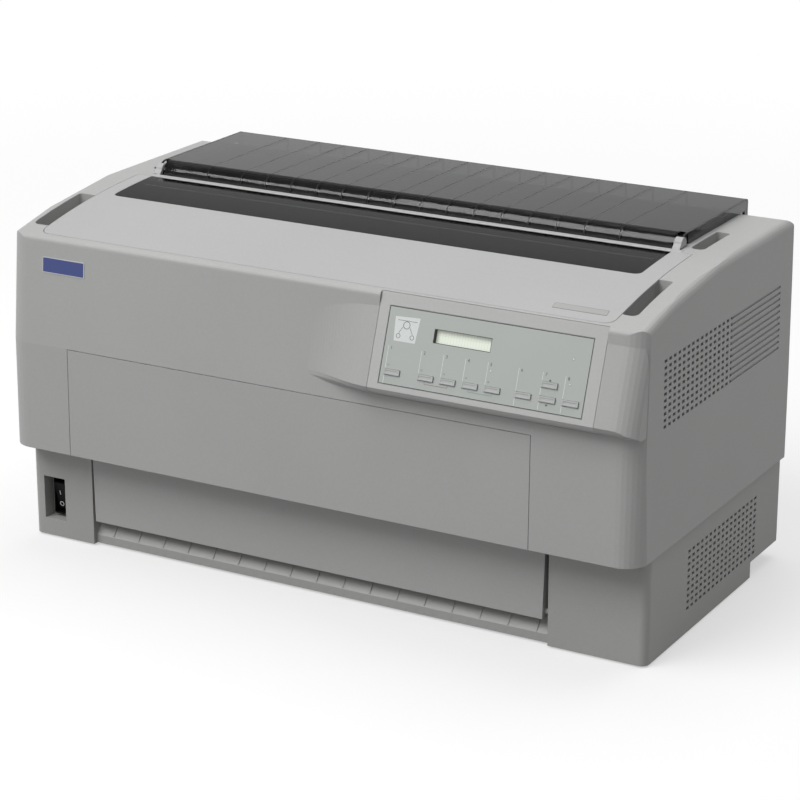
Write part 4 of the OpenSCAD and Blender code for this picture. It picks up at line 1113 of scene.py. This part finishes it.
@dataclass
class Studio:
    """Plain pale floor, white surroundings, soft lamps and the camera."""

    focal_px: float = 2701.8
    azimuth: float = 29.527
    elevation: float = 18.813
    shift_mm: Point = (4.83, -18.22)
    distance_mm: float = 2703.8
    target_mm: float = 180.0
    image_px: float = 800.0
    sensor_mm: float = 36.0
    far: float = 100.0
    fill: float = 0.46
    fill_sides: Point = (1.14, 0.7)  # the fill, as a share, from the left and from the right
    ceiling: float = 0.36
    ceiling_from: Point = (0.14, 0.34)  # steepness at which the walls turn into the ceiling
    floor_half: float = 14.0
    floor_tone: str = "#868686"  # what the floor throws back on the printer
    floor_seen: str = "#f4f4f4"
    glow_near: float = 0.5  # how much of the floor seen near the printer is glow
    glow_from: Point = (0.6, 2.4)  # and from where to where it becomes all of it
    lamps: tuple = (
        # name, position, size, watts, point it faces
        ("key", (-1.2, -2.4, 3.4), 2.6, 121.0, (0.0, 0.0, 0.2)),
        ("top", (0.3, 1.0, 3.2), 2.4, 38.5, (0.0, 0.0, 0.3)),
    )

    def build(self) -> None:
        """Makes the floor, the world, the lamps and the camera."""
        self.floor()
        self.world()
        for lamp in self.lamps:
            self.lamp(*lamp)
        self.camera()

    def white_seen(self, nodes: Nodes) -> Socket:
        """Gives 1 for rays that show the background: from the camera, in gloss and through glass.

        Args:
            nodes: nodes of the material or world that asks.

        Returns:
            The 0 or 1.
        """
        rays = nodes.node("LightPath").outputs
        seen = nodes.maths("MAXIMUM", rays["Is Camera Ray"], rays["Is Glossy Ray"])
        return nodes.maths("MAXIMUM", seen, rays["Is Transmission Ray"])

    def floor(self) -> None:
        """Makes a wide level floor that is near white and keeps the shadow."""
        mesh = bpy.data.meshes.new("floor")
        corners = self.floor_half * np.array([[-1, -1, 0], [1, -1, 0], [1, 1, 0], [-1, 1, 0]])
        mesh.from_pydata(corners, [], [[0, 1, 2, 3]])
        floor = bpy.data.objects.new("floor", mesh)
        bpy.context.scene.collection.objects.link(floor)
        material = bpy.data.materials.new("matt_paper_sweep")
        nodes = Nodes(material)
        seen = self.white_seen(nodes)
        tone = nodes.mixed(seen, linear(self.floor_tone), linear(self.floor_seen))
        paper = nodes.node("BsdfDiffuse", {"Color": tone}).outputs[0]
        glow = nodes.node("Emission", {"Color": linear("#ffffff"), "Strength": 1.0}).outputs[0]
        place = nodes.node("TexCoord").outputs["Object"]
        away = nodes.node("VectorMath", {0: place}, operation="LENGTH").outputs["Value"]
        blend = nodes.ranged(away, self.glow_near, 1.0, self.glow_from, Way.EASED)
        share = nodes.maths("MULTIPLY", seen, blend)
        mix = nodes.node("MixShader", {0: share, 1: paper, 2: glow})
        nodes.node("OutputMaterial", {"Surface": mix.outputs[0]})
        mesh.materials.append(material)

    def world(self) -> None:
        """Makes surroundings that light softly; seen, they are white walls and a dim ceiling."""
        world = bpy.data.worlds.new("white_studio")
        bpy.context.scene.world = world
        nodes = Nodes(world)
        place = nodes.node("TexCoord").outputs["Generated"]
        way = nodes.node("SeparateXYZ", {0: place}).outputs
        ceiling = nodes.ranged(way[2], 1.0, self.ceiling, self.ceiling_from, Way.EASED)
        sides = (self.fill * share for share in self.fill_sides)
        side = nodes.ranged(way[0], *sides, span=(-1.0, 1.0))
        level = nodes.ranged(self.white_seen(nodes), side, ceiling)
        glow = nodes.node("Background", {"Color": linear("#ffffff"), "Strength": level})
        nodes.node("OutputWorld", {"Surface": glow.outputs[0]})

    def lamp(self, name: str, place: Place, size: float, watts: float, target: Place) -> None:
        """Hangs one square soft box.

        Args:
            name: name of the lamp.
            place: where it hangs.
            size: length of its side.
            watts: its power.
            target: point that it faces.
        """
        light = bpy.data.lights.new(name, "AREA")
        light.size = size
        light.energy = watts
        self.aim(bpy.data.objects.new(name, light), np.array(place), np.array(target))

    def aim(self, holder: bpy.types.Object, place: Array, target: Array) -> None:
        """Puts a lamp or camera in the scene, facing a target, with +Z up in its view.

        Args:
            holder: the object.
            place: where it goes.
            target: what it faces.
        """
        bpy.context.scene.collection.objects.link(holder)
        back = (place - target) / np.linalg.norm(place - target)
        right = np.cross([0, 0, 1], back)
        right /= np.linalg.norm(right)
        up = np.cross(back, right)
        matrix = np.eye(4)
        matrix[:3, :4] = np.stack([right, up, back, place], -1)
        holder.matrix_world = Matrix(matrix.tolist())

    def camera(self) -> None:
        """Makes the camera: it stands back from the target along the viewing angle, moved aside."""
        a, e = math.radians(self.azimuth), math.radians(self.elevation)
        back = np.array([math.sin(a) * math.cos(e), -math.cos(a) * math.cos(e), math.sin(e)])
        right = np.array([math.cos(a), math.sin(a), 0.0])
        aside = right * self.shift_mm[0] + np.cross(back, right) * self.shift_mm[1]
        target = (np.array([0, 0, self.target_mm]) + aside) * MM
        lens = bpy.data.cameras.new("camera")
        lens.sensor_width = self.sensor_mm
        lens.lens = self.focal_px * self.sensor_mm / self.image_px
        lens.clip_end = self.far
        holder = bpy.data.objects.new("camera", lens)
        self.aim(holder, target + back * self.distance_mm * MM, target)
        bpy.context.scene.camera = holder


def main() -> None:
    """Builds the scene: the printer's sub-assemblies in order, then the studio."""
    logging.basicConfig(level=logging.INFO, format="%(message)s")
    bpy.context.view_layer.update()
    for kind in (Housing, Console, SmokedCovers, PowerSwitch, Mechanism, Electronics):
        LOG.info("building %s", kind.__name__)
        kind().build()
    Studio().build()
    bpy.context.scene.view_settings.view_transform = "Standard"


if __name__ == "__main__":
    main()
